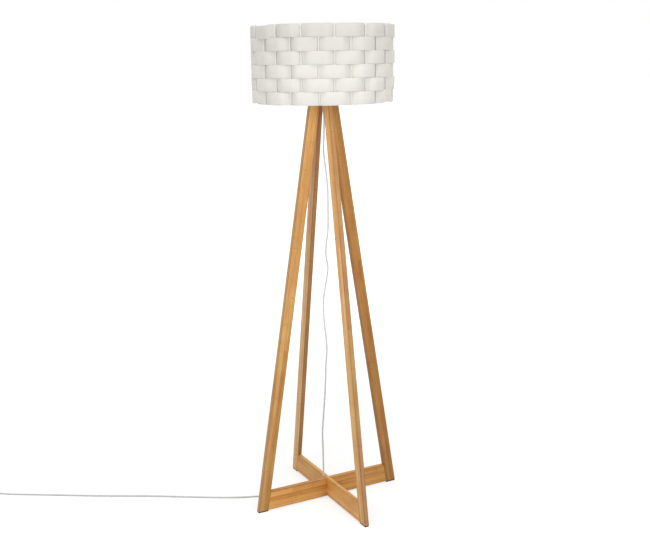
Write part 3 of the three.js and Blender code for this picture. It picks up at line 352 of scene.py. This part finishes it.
def bamboo(name, board, seed, broad, narrow):
    """Laminated bamboo: strips of end-jointed pieces, with fibres and knots, and painted shade along the
    edges.

    The board's broad and its narrow faces each have a tint, partly its own tone and partly painted light and
    shade, and a brightness at both ends that paints light and shade along the board.
    """
    shader = Shader(name, specular_ior_level=0.35)
    place = shader.place()
    run = shader.dot(place, board.along)
    side = shader.dot(place, board.across)
    depth = shader.dot(place, board.along.cross(board.across))
    cloud = shader.noise(shader.vector(run, side, depth), 11.0, 2.0)

    # The strips side by side, and the end-jointed stretches of each, all with their own tone
    strips = shader.math("DIVIDE", side, board.lamella)
    strip = shader.math("FLOOR", strips)
    strip_tone = shader.random(shader.math("ADD", strip, seed))
    stretches = shader.math("DIVIDE", run, STRETCH_LENGTH)
    shifted = shader.math("ADD", stretches, shader.math("MULTIPLY", strip_tone, 7.3))
    strip_seed = shader.math("MULTIPLY_ADD", strip, 17.0, seed)
    stretch_seed = shader.math("ADD", strip_seed, shader.math("FLOOR", shifted))
    stretch_tone = shader.random(stretch_seed)
    hue = shader.random(shader.math("ADD", stretch_seed, 0.37))
    mixed = shader.math("MULTIPLY_ADD", strip_tone, 0.45, shader.math("MULTIPLY", stretch_tone, 0.4))
    tone = shader.math("ADD", mixed, shader.spread(cloud, 0.3, 0.7, -0.1, 0.22))
    base = shader.ramp(tone, [
        (0.05, (0.557, 0.249, 0.065)),
        (0.32, (0.662, 0.326, 0.093)),
        (0.6, (0.756, 0.412, 0.14)),
        (0.95, (0.84, 0.51, 0.2)),
    ])
    rosy = shader.blend(shader.spread(hue, 0.55, 1.0, 0.0, 0.55), base, (0.76, 0.37, 0.18))
    patch = shader.noise(shader.scaled(place, (7.0, 7.0, 7.0)), 1.0, 1.0)
    wood = shader.blend(shader.spread(patch, 0.5, 0.75, 0.0, 0.5), rosy, (0.7, 0.43, 0.125))

    # Fibres, knots and the dark lines between the strips
    across_fibres = (shader.math("MULTIPLY", way, 900.0) for way in (side, depth))
    streaks = shader.vector(shader.math("MULTIPLY", run, 14.0), *across_fibres)
    fibre = shader.noise(streaks, 1.0, 4.0, 0.6)
    coarse = shader.noise(shader.scaled(streaks, (0.25, 0.2, 0.2)), 1.0, 2.0)
    fine_tint = shader.ramp(fibre, [
        (0.3, (0.76, 0.7, 0.6)),
        (0.52, (1.0, 1.0, 1.0)),
        (0.75, (1.08, 1.1, 1.12)),
    ])
    coarse_tint = shader.ramp(coarse, [(0.3, (0.82, 0.76, 0.66)), (0.6, (1.0, 1.0, 1.0))])
    fibred = shader.tint(shader.tint(wood, fine_tint), coarse_tint)
    phase = shader.math("MULTIPLY_ADD", strip_tone, 3.7, shader.math("DIVIDE", run, KNOT_SPACING))
    wobble = shader.spread(cloud, 0.3, 0.7, -0.006, 0.006)
    off_knot = shader.math("SUBTRACT", shader.math("FRACT", shader.math("ADD", phase, wobble)), 0.5)
    knot = shader.spread(shader.math("ABSOLUTE", off_knot), 0.003, 0.014, 0.3, 0.0)
    knotted = shader.blend(knot, fibred, (0.36, 0.15, 0.045))
    off_strip = shader.math("ABSOLUTE", shader.math("SUBTRACT", shader.math("FRACT", strips), 0.5))
    jointed = shader.blend(shader.spread(off_strip, 0.46, 0.5, 0.0, 0.3), knotted, (0.36, 0.15, 0.04))

    # The faces' tints with painted light and shade along the board, and painted shade along the edges
    off_centre = shader.math("ABSOLUTE", shader.math("SUBTRACT", side, board.centre))
    from_side = shader.math("SUBTRACT", board.half_width, off_centre)
    from_face = shader.math("SUBTRACT", BOARD / 2, shader.math("ABSOLUTE", depth))
    on_narrow = shader.spread(from_side, 0.2 * MM, 0.8 * MM, 1.0, 0.0)
    # Painted light and shade: lit and shaded tints for the broad and the narrow faces, lighter or darker
    # towards the ends
    painted_light_tints = [shader.tint(tint, shader.spread(run, *board.ends, *painted_light_ends)) for tint, painted_light_ends in (broad, narrow)]
    tinted_and_lit = shader.tint(jointed, shader.blend(on_narrow, *painted_light_tints))
    # Painted shade: darker within a few millimetres of the board's edges
    painted_edge_shade = shader.spread(shader.math("MAXIMUM", from_side, from_face), 0.4 * MM, 3.2 * MM, 0.45, 0.0)
    shader.colour(shader.blend(painted_edge_shade, tinted_and_lit, (0.2, 0.1, 0.045)))
    shader.rough(shader.spread(fibre, 0.3, 0.8, 0.44, 0.58))
    shader.bump(fibre, 0.12, 0.0004)
    return shader.material


def white_strip():
    """Matt white plastic with faint lengthwise lines, with painted light in the valleys and painted shade
    near the top.
    """
    shader = Shader(
        "white_strip", subsurface_weight=0.45, subsurface_radius=(1.0, 0.95, 0.85), subsurface_scale=0.003)
    place = shader.place()
    lines = shader.noise(shader.scaled(place, (6.0, 6.0, 520.0)), 1.0, 3.0, 0.6)
    cloud = shader.noise(place, 14.0, 2.0)
    base = shader.ramp(lines, [(0.3, (0.79, 0.757, 0.709)), (0.7, (0.84, 0.809, 0.765))])
    clouded = shader.blend(shader.spread(cloud, 0.35, 0.65, 0.0, 0.5), base, (0.83, 0.797, 0.735))
    from_axis = shader.length(shader.scaled(place, (1.0, 1.0, 0.0)))
    # Painted light: lighter in the valleys, where the strips are in shade
    painted_valley_light = shader.spread(from_axis, VALLEY_RADIUS, VALLEY_RADIUS + WAVE_DEPTH / 3, 1.0, 0.0)
    valley_lit = shader.blend(painted_valley_light, clouded, (0.93, 0.905, 0.86))
    # Painted shade: greyer towards the top rows
    height = shader.dot(place, UP)
    painted_top_shade = shader.spread(height, SHADE_BOTTOM + 2.5 * STRIP_PITCH, SHADE_TOP - STRIP_PITCH / 2, 0.0, 0.6)
    shader.colour(shader.blend(painted_top_shade, valley_lit, (0.645, 0.623, 0.588)))
    shader.rough(shader.spread(lines, 0.3, 0.7, 0.45, 0.58))
    shader.bump(lines, 0.15, 0.0003)
    return shader.material


def painted(name, colour, roughness):
    """Paint, lacquer or smooth plastic, with a slight orange-peel surface."""
    shader = Shader(name)
    place = shader.place()
    grain = shader.noise(place, 900.0, 2.0)
    cloud = shader.noise(place, 20.0, 2.0)
    darker = tuple(0.95 * channel for channel in colour)
    shader.colour(shader.blend(cloud, darker, colour))
    shader.rough(shader.spread(cloud, 0.3, 0.7, roughness - 0.05, roughness + 0.07))
    shader.bump(grain, 0.06, 0.0002)
    return shader.material


def plated(name, colour, roughness):
    """Metal with fine handling marks."""
    shader = Shader(name, metallic=1.0)
    place = shader.place()
    marks = shader.noise(shader.scaled(place, (300.0, 300.0, 2400.0)), 1.0, 3.0)
    cloud = shader.noise(place, 60.0, 2.0)
    duller = tuple(0.86 * channel for channel in colour)
    shader.colour(shader.blend(cloud, duller, colour))
    shader.rough(shader.spread(marks, 0.3, 0.7, roughness - 0.08, roughness + 0.1))
    shader.bump(marks, 0.08, 0.0001)
    return shader.material


def pad_rubber():
    """Dark, grainy rubber."""
    shader = Shader("dark_rubber", roughness=0.8)
    grain = shader.noise(shader.place(), 1500.0, 2.0)
    shader.colour(shader.ramp(grain, [(0.3, (0.035, 0.03, 0.027)), (0.7, (0.06, 0.052, 0.047))]))
    shader.bump(grain, 0.3, 0.0003)
    return shader.material


def dowel_wood():
    """Plain beech."""
    shader = Shader("beech", roughness=0.6)
    grain = shader.noise(shader.scaled(shader.place(), (60.0, 60.0, 500.0)), 1.0, 3.0)
    shader.colour(shader.ramp(grain, [(0.3, (0.56, 0.4, 0.24)), (0.7, (0.68, 0.52, 0.34))]))
    shader.bump(grain, 0.1, 0.0002)
    return shader.material


def cord_cover():
    """White flex, with painted light that makes it lighter where it hangs than where it lies on the floor.
    """
    shader = Shader("cord_white")
    place = shader.place()
    cloud = shader.noise(place, 45.0, 2.0)
    cover = shader.ramp(cloud, [(0.3, (0.55, 0.555, 0.545)), (0.7, (0.62, 0.625, 0.615))])
    # Painted light: lighter higher up, where the cord hangs
    painted_upper_light = shader.spread(shader.dot(place, UP), 0.3, 0.6, 0.0, 0.7)
    shader.colour(shader.blend(painted_upper_light, cover, (0.8, 0.805, 0.79)))
    shader.rough(shader.spread(cloud, 0.3, 0.7, 0.38, 0.5))
    shader.bump(shader.noise(place, 1200.0, 2.0), 0.05, 0.0002)
    return shader.material


def opal_glass():
    """Glossy white glass."""
    shader = Shader("opal_glass", roughness=0.18, coat_weight=0.5, coat_roughness=0.05)
    place = shader.place()
    cloud = shader.noise(place, 30.0, 2.0)
    shader.colour(shader.ramp(cloud, [(0.3, (0.86, 0.855, 0.84)), (0.7, (0.89, 0.885, 0.87))]))
    shader.bump(shader.noise(place, 400.0, 1.0), 0.02, 0.0002)
    return shader.material


# Points
def polar(radius, angle, z):
    return Vector((radius * math.cos(angle), radius * math.sin(angle), z))


def circle(radius, z, steps):
    return [polar(radius, i / steps * TURN, z) for i in range(steps)]


def eased(value, low, high):
    """0 up to low, 1 from high on, and a smooth rise between them."""
    share = min(max((value - low) / (high - low), 0), 1)
    return share * share * (3 - 2 * share)


def bezier(a, b, c, d, steps):
    """Points along a cubic Bezier curve in the plane."""
    made = []
    for k in range(steps + 1):
        t = k / steps
        weights = ((1 - t) ** 3, 3 * t * (1 - t) ** 2, 3 * t * t * (1 - t), t ** 3)
        made.append(tuple(sum(w * p[i] for w, p in zip(weights, (a, b, c, d))) for i in (0, 1)))
    return made


def bent(corner, before, after, radius, steps=5):
    """Points of a bend of the radius at the corner of two straight runs."""
    first = (before - corner).normalized()
    second = (after - corner).normalized()
    reach = radius / math.tan(first.angle(second) / 2)
    start, finish = corner + first * reach, corner + second * reach
    made = []
    for i in range(steps + 1):
        t = i / steps
        made.append(start * (1 - t) ** 2 + corner * 2 * t * (1 - t) + finish * t * t)
    return made


def smooth_route(points, steps):
    """Points along a centripetal Catmull-Rom curve through the given ones."""
    ends = [points[0] * 2 - points[1], *points, points[-1] * 2 - points[-2]]
    made = []
    for i in range(1, len(ends) - 2):
        a, b, c, d = ends[i - 1:i + 3]
        first, middle, last = ((q - p).length ** 0.5 for p, q in ((a, b), (b, c), (c, d)))
        leave = ((b - a) / first - (c - a) / (first + middle) + (c - b) / middle) * middle
        reach = ((c - b) / middle - (d - b) / (middle + last) + (d - c) / last) * middle
        for k in range(steps):
            t = k / steps
            made.append(
                b * (2 * t ** 3 - 3 * t ** 2 + 1) + leave * (t ** 3 - 2 * t ** 2 + t)
                + c * (3 * t ** 2 - 2 * t ** 3) + reach * (t ** 3 - t ** 2)
            )
    made.append(points[-1])
    return made


# Meshes
def mesh_of(name, builder):
    """The smooth-shaded mesh that the builder fills."""
    made = bmesh.new()
    builder(made)
    bmesh.ops.recalc_face_normals(made, faces=made.faces)
    for face in made.faces:
        face.smooth = True
    mesh = bpy.data.meshes.new(name)
    made.to_mesh(mesh)
    made.free()
    return mesh


def skinned(made, rings, closed=False, capped=False):
    """Joins rings of points into a tube, closed on itself, capped or open, and returns its rings."""
    loops = [[made.verts.new(point) for point in ring] for ring in rings]
    onward = [*loops[1:], loops[0]] if closed else loops[1:]
    for here, there in zip(loops, onward):
        for k in range(len(here)):
            m = (k + 1) % len(here)
            made.faces.new((here[k], there[k], there[m], here[m]))
    if capped:
        made.faces.new(loops[0])
        made.faces.new(loops[-1])
    return loops


def turned(made, profile, sides=96):
    """Turns a closed profile of (radius, z) points round the Z axis."""
    rings = [[polar(radius, i / sides * TURN, z) for radius, z in profile] for i in range(sides)]
    skinned(made, rings, closed=True)


def spun(made, profile, sides=72):
    """Turns an open profile of (radius, z) points, whose two ends are on the Z axis."""
    loops = skinned(made, [circle(radius, z, sides) for radius, z in profile[1:-1]])
    for (_, z), loop in ((profile[0], loops[0]), (profile[-1], loops[-1])):
        tip = made.verts.new((0, 0, z))
        for k in range(sides):
            made.faces.new((tip, loop[k], loop[(k + 1) % sides]))


def lofted(made, start, ahead, sections, sides=48):
    """A closed body along a level line, through squarish sections.

    Each section has its place on the line, half its width, half its height, and its squareness.
    """
    side = Vector((-ahead.y, ahead.x, 0))
    rings = []
    for place, half_width, half_height, squareness in sections:
        ring = []
        for k in range(sides):
            angle = (k + 0.5) / sides * TURN
            x, y = math.cos(angle), math.sin(angle)
            reach = (abs(x) ** squareness + abs(y) ** squareness) ** (-1 / squareness)
            level = start + ahead * place + side * (half_width * x * reach)
            ring.append(level + UP * (half_height * y * reach))
        rings.append(ring)
    skinned(made, rings, capped=True)


def swept(made, points, radius, sides, closed=False):
    """A round wire through the points, which start level, closed on itself or with flat ends."""
    count = len(points)
    rings = []
    reference = UP
    for i, point in enumerate(points):
        before = points[i - 1] if closed or i else point
        after = points[(i + 1) % count] if closed or i < count - 1 else point
        along = ((after - point).normalized() + (point - before).normalized()).normalized()
        side = along.cross(reference).normalized()
        reference = side.cross(along).normalized()
        angles = [k / sides * TURN for k in range(sides)]
        rings.append([point + (side * math.cos(a) + reference * math.sin(a)) * radius for a in angles])
    skinned(made, rings, closed=closed, capped=not closed)


def piece(name, mesh, body, material, stands_for):
    """Adds a piece of the lamp that moves with the body, in place of the CAD nodes it stands for."""
    item = bpy.data.objects.new(name, mesh)
    bpy.context.collection.objects.link(item)
    mesh.materials.append(material)
    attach(item, body)
    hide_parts(*stands_for)
    return item


# CAD nodes
def smooth_by_angle(limit):
    """Nodes that shade a mesh smooth, except over the edges sharper than the limit."""
    tree = bpy.data.node_groups.new("smooth_by_angle", "GeometryNodeTree")
    for in_out in ("INPUT", "OUTPUT"):
        tree.interface.new_socket("Geometry", in_out=in_out, socket_type="NodeSocketGeometry")
    graph = Graph(tree)
    start = graph.node("NodeGroupInput").outputs[0]
    faces = graph.node("GeometryNodeSetShadeSmooth", {"Geometry": start}).outputs[0]
    angle = graph.node("GeometryNodeInputMeshEdgeAngle").outputs["Unsigned Angle"]
    gentle = graph.node("FunctionNodeCompare", {"A": angle, "B": limit}, operation="LESS_THAN")
    inputs = {"Geometry": faces, "Shade Smooth": gentle.outputs["Result"]}
    edges = graph.node("GeometryNodeSetShadeSmooth", inputs, domain="EDGE").outputs[0]
    graph.node("NodeGroupOutput", {0: edges})
    return tree


SMOOTHING = smooth_by_angle(math.radians(33))


def rounded(item, width, harden):
    """Rounds a CAD node's sharp edges, and hardens the shading of its flat faces if asked."""
    bevel = item.modifiers.new("edges", "BEVEL")
    bevel.width = width
    bevel.segments = 3
    bevel.limit_method = "ANGLE"
    bevel.angle_limit = math.radians(30)
    bevel.harden_normals = harden


def finish_node(name, material, edge=0.0):
    """Joins a CAD node's separate faces, and gives it its material and, if asked, rounded edges."""
    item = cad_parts[name]
    item.modifiers.new("weld", "WELD").merge_threshold = WELD_DISTANCE
    item.data.materials.clear()
    item.data.materials.append(material)
    for polygon in item.data.polygons:
        polygon.material_index = 0
    if edge:
        rounded(item, edge, harden=True)
    return item


def moulded(name, material, edge):
    """Finishes a CAD node with rounded edges, and shades its round faces smooth."""
    item = finish_node(name, material)
    rounded(item, edge, harden=False)
    item.modifiers.new("smooth", "NODES").node_group = SMOOTHING
    item.modifiers.new("flats", "WEIGHTED_NORMAL").keep_sharp = True


# Cords
def cord_curve(name, points, material):
    """A round cord through the points, which rides on the stand."""
    curve = bpy.data.curves.new(name, "CURVE")
    curve.dimensions = "3D"
    curve.bevel_depth = CORD_DIAMETER / 2
    curve.bevel_resolution = 4
    curve.use_fill_caps = True
    spline = curve.splines.new("POLY")
    spline.points.add(len(points) - 1)
    for target, point in zip(spline.points, points):
        target.co = (*point, 1)
    curve.materials.append(material)
    item = bpy.data.objects.new(name, curve)
    bpy.context.collection.objects.link(item)
    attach(item, "stand")
    return item


def plug_mesh(start, ahead):
    """A flat plug with waisted sides, and rings that let its sleeve bend."""
    back, front = CORD_DIAMETER / 2 + SLEEVE_WALL, PLUG_SECTIONS_MM[0][1] * MM
    thin = back - SLEEVE_EDGE
    sleeve = [(0, thin, thin, ROUND), (SLEEVE_EDGE, back, back, ROUND)]
    for i in range(SLEEVE_RIBS):
        for share, depth in GROOVE_PROFILE:
            along = (i + SLEEVE_FIRST_RIB + share) * SLEEVE_RIB_PITCH
            radius = back + (front - back) * along / SLEEVE_LENGTH - depth
            sleeve.append((along, radius, radius, ROUND))
    body = [(*(value * MM for value in row[:3]), row[3]) for row in PLUG_SECTIONS_MM]

    def build(made):
        lofted(made, start, ahead, [*sleeve, *body])

    return mesh_of("moulded_plug", build)


def make_spare_cord(end, heading, material, plastic):
    """The cord beyond the switch: a short tail, a coil of two layers, and the plug on the coil's end."""
    side = Vector((-heading.y, heading.x))

    def beyond(forward, sideways, z):
        flat = end.xy + heading * forward + side * sideways
        return Vector((flat.x, flat.y, z))

    outlet = 2 * GAP + SWITCH_LENGTH + 2 * SLEEVE_LENGTH
    tail_end = outlet + TAIL_LENGTH
    tail = smooth_route([
        beyond(outlet, 0, end.z),
        beyond(outlet + CORD_DIAMETER, 0, end.z),
        beyond(tail_end - CORD_DIAMETER, 0, COIL_BOTTOM_Z),
        beyond(tail_end, 0, COIL_BOTTOM_Z),
    ], TAIL_STEPS)
    centre = tail_end + GAP + CORD_DIAMETER
    outer = COIL_INNER_RADIUS + COIL_PITCH * COIL_TURNS_PER_LAYER
    top_z = COIL_BOTTOM_Z + COIL_PITCH
    steps = round(2 * COIL_TURNS_PER_LAYER * COIL_STEPS_PER_TURN)
    coil = []
    for i in range(steps + 1):
        turns = i / steps * 2 * COIL_TURNS_PER_LAYER
        from_middle = turns - COIL_TURNS_PER_LAYER
        radius = COIL_INNER_RADIUS + COIL_PITCH * abs(from_middle)
        climb = eased(from_middle, -COIL_CLIMB_TURNS / 2, COIL_CLIMB_TURNS / 2)
        angle = turns * TURN - TURN / 4
        forward = centre + radius * math.cos(angle)
        sideways = outer + radius * math.sin(angle)
        coil.append(beyond(forward, sideways, COIL_BOTTOM_Z + COIL_PITCH * climb))
    last = beyond(centre - CORD_DIAMETER, 2 * outer, top_z)
    plug_start = beyond(centre - CORD_DIAMETER - GAP, 2 * outer, top_z)
    plug = piece("moulded_plug", plug_mesh(plug_start, -heading.to_3d()), "stand", plastic,
                 ["plug_body"])
    spare_points = [*tail, *coil, last]
    spare = cord_curve("cord_spare_smooth", spare_points, material)
    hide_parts("cord_tail", "cord_coil")


def make_cords(material, plastic):
    """The cord from the grip to the switch along its route, and the spare cord beyond."""
    leave = Vector((0, 0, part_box("cord_grip")[0][2] - GAP))
    route = [Vector(point) * MM for point in CORD_ROUTE_MM]
    run_points = smooth_route([leave, *route], RUN_STEPS)
    run = cord_curve("cord_run_smooth", run_points, material)
    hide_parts("cord_run")
    make_spare_cord(route[-1], (route[-1] - route[-2]).xy.normalized(), material, plastic)


# Shade
def stake_angle(place):
    """The angle of a stake, or of a place between two stakes."""
    before = math.floor(place)
    low, high = (STAKE_SHIFT_SHARES[stake % STAKES] for stake in (before, before + 1))
    return FIRST_VALLEY + (place + low + (high - low) * (place - before)) / STAKES * TURN


def strip_lift(row, bulge, angle):
    """How far the bulge at the angle sits above or below its row."""
    seen = math.degrees((angle - VIEW_ANGLE + math.pi) % TURN - math.pi)
    lift = ROW_WANDER * math.sin(5.1 * row + 2.3 * bulge)
    for shifted_row, low, high, shift in SHIFTS_MM:
        if row == shifted_row and low < seen < high:
            lift += shift * MM
    return lift


def rounded_section(width, height, edge):
    """The outline of a rectangle with rounded corners, round its centre."""
    made = []
    for side, rise, first in ((1, 1, 0), (-1, 1, 90), (-1, -1, 180), (1, -1, 270)):
        for turn in (first, first + 45, first + 90):
            angle = math.radians(turn)
            made.append((side * (width / 2 - edge) + edge * math.cos(angle),
                         rise * (height / 2 - edge) + edge * math.sin(angle)))
    return made


def strip_mesh(row):
    """One strip, with rounded edges, that waves in and out round the drum."""
    middle_z = SHADE_TOP - (row + 0.5) * STRIP_PITCH
    section = rounded_section(STRIP_THICKNESS, STRIP_PITCH - GAP, STRIP_EDGE)
    swell = random.Random(STRIP_SEED + row)
    fullness = [swell.uniform(*BULGE_VARIATION_MM) * MM for _ in range(BULGES)]
    for bulge, extra in SIDE_FULLNESS_MM[row % 2].items():
        fullness[bulge] = extra * MM

    def wave_at(along):
        """0 in a valley and 1 on a bulge's crest."""
        sine, soft = math.sin(along * math.pi), VALLEY_SOFTNESS
        return (math.sqrt(sine * sine + soft * soft) - soft) / (math.sqrt(1 + soft * soft) - soft)

    def centre(along):
        wave = wave_at(along)
        bulge = int(along) % BULGES
        out = WAVE_DEPTH * (1 - (1 - wave) ** WAVE_FULLNESS) + fullness[bulge] * wave ** 4
        return polar(VALLEY_RADIUS - STRIP_THICKNESS / 2 + out, stake_angle(row % 2 + 2 * along), 0)

    def ring(along):
        point = centre(along)
        ahead = centre(along + 0.01) - centre(along - 0.01)
        normal = Vector((ahead.y, -ahead.x, 0)).normalized()
        bulge = int(along)
        lift = strip_lift(row, bulge, stake_angle(row % 2 + 2 * bulge + 1))
        lift *= eased(wave_at(along), SHIFT_START, SHIFT_END)
        return [point + normal * outwards + UP * (middle_z + up + lift) for outwards, up in section]

    def build(made):
        steps = BULGES * STRIP_STEPS_PER_BULGE
        skinned(made, [ring(i / STRIP_STEPS_PER_BULGE) for i in range(steps)], closed=True)

    return mesh_of(f"strip_{row + 1}", build)


def make_strips():
    material = white_strip()
    for row in range(STRIP_ROWS):
        piece(f"woven_strip_{row + 1}", strip_mesh(row), "stand", material,
              [f"shade_strip_{row + 1}"])


def frame_mesh():
    """The shade's wire frame: two hoops, and stakes whose ends turn in to both."""
    low, high = SHADE_BOTTOM + HOOP_INSET, SHADE_TOP - HOOP_INSET

    def build(made):
        for z in (low, high):
            swept(made, circle(HOOP_RADIUS, z, HOOP_STEPS), HOOP_DIAMETER / 2, HOOP_SIDES, closed=True)
        for stake in range(STAKES):
            angle = stake_angle(stake)
            inner_low, outer_low = polar(HOOP_RADIUS, angle, low), polar(STAKE_RADIUS, angle, low)
            inner_high, outer_high = polar(HOOP_RADIUS, angle, high), polar(STAKE_RADIUS, angle, high)
            points = [
                inner_low,
                *bent(outer_low, inner_low, outer_high, STAKE_BEND),
                *bent(outer_high, outer_low, inner_high, STAKE_BEND),
                inner_high,
            ]
            swept(made, points, STAKE_DIAMETER / 2, WIRE_SIDES)

    return mesh_of("shade_frame_smooth", build)


def fitter_mesh():
    """The flat ring on the lampholder, and three arms welded under it that slope to the lower hoop."""
    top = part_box("shade_fitter")[1][2]
    under = top - RING_THICKNESS
    bore, rim, edge = RING_BORE_RADIUS, RING_RIM_RADIUS, RING_EDGE
    arm_z = under - ARM_RADIUS + OVERLAP_AT_RING
    hoop_z = SHADE_BOTTOM + HOOP_INSET

    def build(made):
        turned(made, [
            (bore, under + edge), (bore + edge, under), (rim - edge, under), (rim, under + edge),
            (rim, top - edge), (rim - edge, top), (bore + edge, top), (bore, top - edge),
        ])
        for i in range(ARMS):
            angle = i / ARMS * TURN
            start = polar(ARM_ROOT, angle, arm_z)
            shoulder = polar(ARM_SHOULDER, angle, arm_z)
            knee = polar(ARM_KNEE, angle, hoop_z)
            end = polar(HOOP_RADIUS - HOOP_DIAMETER / 2 + OVERLAP_AT_HOOP, angle, hoop_z)
            points = [
                start,
                *bent(shoulder, start, knee, ARM_SHOULDER_BEND),
                *bent(knee, shoulder, end, ARM_KNEE_BEND),
                end,
            ]
            swept(made, points, ARM_RADIUS, WIRE_SIDES)

    return mesh_of("shade_fitter_smooth", build)


def make_shade():
    make_strips()
    wire = painted("white_wire", (0.82, 0.81, 0.77), 0.42)
    piece("shade_wire_frame", frame_mesh(), "stand", wire, ["shade_frame"])
    piece("shade_wire_fitter", fitter_mesh(), "stand", wire, ["shade_fitter"])


# Stand
def make_legs():
    """The four legs, a quarter turn apart."""
    low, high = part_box("leg_back_right")
    tilt = math.atan2(high[0] - low[0] - LEG_WIDTH, high[2] - low[2])
    middle = high[0] * math.cos(tilt) + low[2] * math.sin(tilt) - LEG_WIDTH / 2
    for i, (name, seed, broad, narrow) in enumerate(LEG_TONES_AND_LIGHT):
        outwards = polar(1, i / 4 * TURN, 0)
        along = UP * math.cos(tilt) - outwards * math.sin(tilt)
        across = outwards * math.cos(tilt) + UP * math.sin(tilt)
        board = Board(along, across, middle, LEG_WIDTH / 2, (0.0, high[2]), LEG_LAMELLA)
        finish_node(f"leg_{name}", bamboo(f"bamboo_leg_{name}", board, seed, broad, narrow), LEG_EDGE)


def make_rails():
    """The two rails, of one size and at one height."""
    low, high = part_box("rail_along_x")
    middle, half = (low[2] + high[2]) / 2, (high[2] - low[2]) / 2
    for name, seed, broad, narrow in RAIL_TONES_AND_LIGHT:
        board = Board(RAIL_DIRECTIONS[name], UP, middle, half, (low[0], high[0]), RAIL_LAMELLA)
        finish_node(f"rail_{name}", bamboo(f"bamboo_rail_{name}", board, seed, broad, narrow), RAIL_EDGE)


def make_pads_and_dowels():
    """The rubber under the legs, and the dowels in their joints with the rails."""
    rubber, beech = pad_rubber(), dowel_wood()
    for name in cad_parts:
        if name.startswith("foot_pad"):
            finish_node(name, rubber, PAD_EDGE)
        elif name.startswith("dowel"):
            finish_node(name, beech, DOWEL_EDGE)


# Top plate, lampholder, bulb and switch
def glass_mesh():
    """A globe that narrows to a neck, one wall thick and open at the neck."""
    low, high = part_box("bulb_glass")
    foot = low[2]
    equator = high[2] - BULB_GLOBE_RADIUS
    neck_top = foot + BULB_NECK_HEIGHT
    middle = neck_top + (equator - neck_top) / 2

    def face(wall):
        neck, globe = BULB_NECK_RADIUS - wall, BULB_GLOBE_RADIUS - wall
        flank = bezier(
            (neck, neck_top), (neck, middle), (globe, equator - globe / 2), (globe, equator), BULB_STEPS)
        angles = [k / BULB_STEPS * TURN / 4 for k in range(1, BULB_STEPS)]
        crown = [(globe * math.cos(angle), equator + globe * math.sin(angle)) for angle in angles]
        return [(neck, foot), *flank, *crown, (0, equator + globe)]

    def build(made):
        spun(made, [*reversed(face(BULB_WALL)), *face(0)])

    return mesh_of("opal_globe", build)


def make_fittings(plastic):
    """The top plate, all that it carries inside the shade, the switch, the cord tie and the plug's pins."""
    steel = plated("zinc_steel", (0.66, 0.67, 0.69), 0.3)
    porcelain = painted("porcelain", (0.86, 0.85, 0.82), 0.2)
    brass = plated("brass", (0.75, 0.57, 0.27), 0.28)
    nickel = plated("bulb_nickel", (0.7, 0.69, 0.67), 0.25)
    black = painted("black_insulator", (0.02, 0.02, 0.022), 0.2)
    screws = [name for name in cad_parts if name.startswith("plate_screw")]
    for names, material, edge_mm in (
        (screws, steel, 0.15),
        (("top_plate", "threaded_tube", "tube_washer", "tube_nut"), steel, 0.25),
        (("cord_grip", "grip_screw", "cord_tie", "lampholder_cap", "lampholder_shell"), plastic, 0.25),
        (("shade_ring_lower", "shade_ring_upper", "bulb_inner_post"), plastic, 0.25),
        (("switch_rocker",), plastic, 0.5),
        (("switch_base", "switch_cover"), plastic, 0.9),
        (("lampholder_core",), porcelain, 0.4),
        (("lampholder_contact", "plug_pin_1", "plug_pin_2"), brass, 0.5),
        (("bulb_cap", "bulb_contact"), nickel, 0.2),
        (("bulb_insulator",), black, 0.2),
    ):
        for name in names:
            moulded(name, material, edge_mm * MM)
    piece("opal_globe", glass_mesh(), "bulb", opal_glass(), ["bulb_glass"])
    finish_node("cord_inner_lead", cord_cover())


# Floor, backdrop and lights
def direct_rays(graph):
    """1 for a ray from the camera, or a mirrored or refracted one, and otherwise 0."""
    rays = graph.node("ShaderNodeLightPath")
    total = rays.outputs["Is Camera Ray"]
    for name in ("Is Glossy Ray", "Is Transmission Ray"):
        total = graph.math("MAXIMUM", total, rays.outputs[name])
    return total


def make_floor():
    """A white floor that keeps the lamp's shadow and fades into the white backdrop."""
    bpy.ops.mesh.primitive_plane_add(size=FLOOR_SIZE, location=(0, 0, 0))
    floor = bpy.context.object
    floor.name = "floor"
    material = bpy.data.materials.new("floor_white")
    material.use_nodes = True
    graph = Graph(material.node_tree)
    graph.nodes.clear()
    glow = graph.spread(graph.length(graph.place()), GLOW_START, GLOW_END, GLOW_NEAR, GLOW_FAR)
    strength = graph.math("MULTIPLY", direct_rays(graph), glow)
    glowing = graph.node("ShaderNodeEmission", {"Strength": strength}).outputs[0]
    matt = graph.node("ShaderNodeBsdfDiffuse", {"Color": FLOOR_COLOUR}).outputs[0]
    both = graph.node("ShaderNodeAddShader", {0: matt, 1: glowing}).outputs[0]
    graph.node("ShaderNodeOutputMaterial", {"Surface": both})
    floor.data.materials.append(material)


def make_world():
    """White to the camera, and as light brighter in front of the lamp than behind it."""
    world = bpy.data.worlds.new("world")
    bpy.context.scene.world = world
    world.use_nodes = True
    graph = Graph(world.node_tree)
    background = graph.nodes["Background"]
    background.inputs["Color"].default_value = (1, 1, 1, 1)
    direction = graph.node("ShaderNodeTexCoord").outputs["Generated"]
    ahead = graph.dot(direction, polar(1, VIEW_ANGLE, 0))
    light = graph.spread(ahead, SKY_START, SKY_END, SKY_BEHIND, SKY_AHEAD)
    strength = graph.spread(direct_rays(graph), 0.0, 1.0, light, 1.0)
    graph.links.new(strength, background.inputs["Strength"])


def make_lights():
    for name, place, target, size, power in LIGHTS:
        light = bpy.data.lights.new(name, "AREA")
        light.shape = "DISK"
        light.size = size
        light.energy = power
        item = bpy.data.objects.new(name, light)
        item.location = place
        item.rotation_euler = (Vector(target) - Vector(place)).to_track_quat("-Z", "Y").to_euler()
        bpy.context.collection.objects.link(item)


make_camera()
white_plastic = painted("white_plastic", (0.84, 0.83, 0.8), 0.32)
make_cords(cord_cover(), white_plastic)
make_shade()
make_legs()
make_rails()
make_pads_and_dowels()
make_fittings(white_plastic)
make_floor()
make_world()
make_lights()
bpy.context.scene.view_settings.view_transform = "Standard"
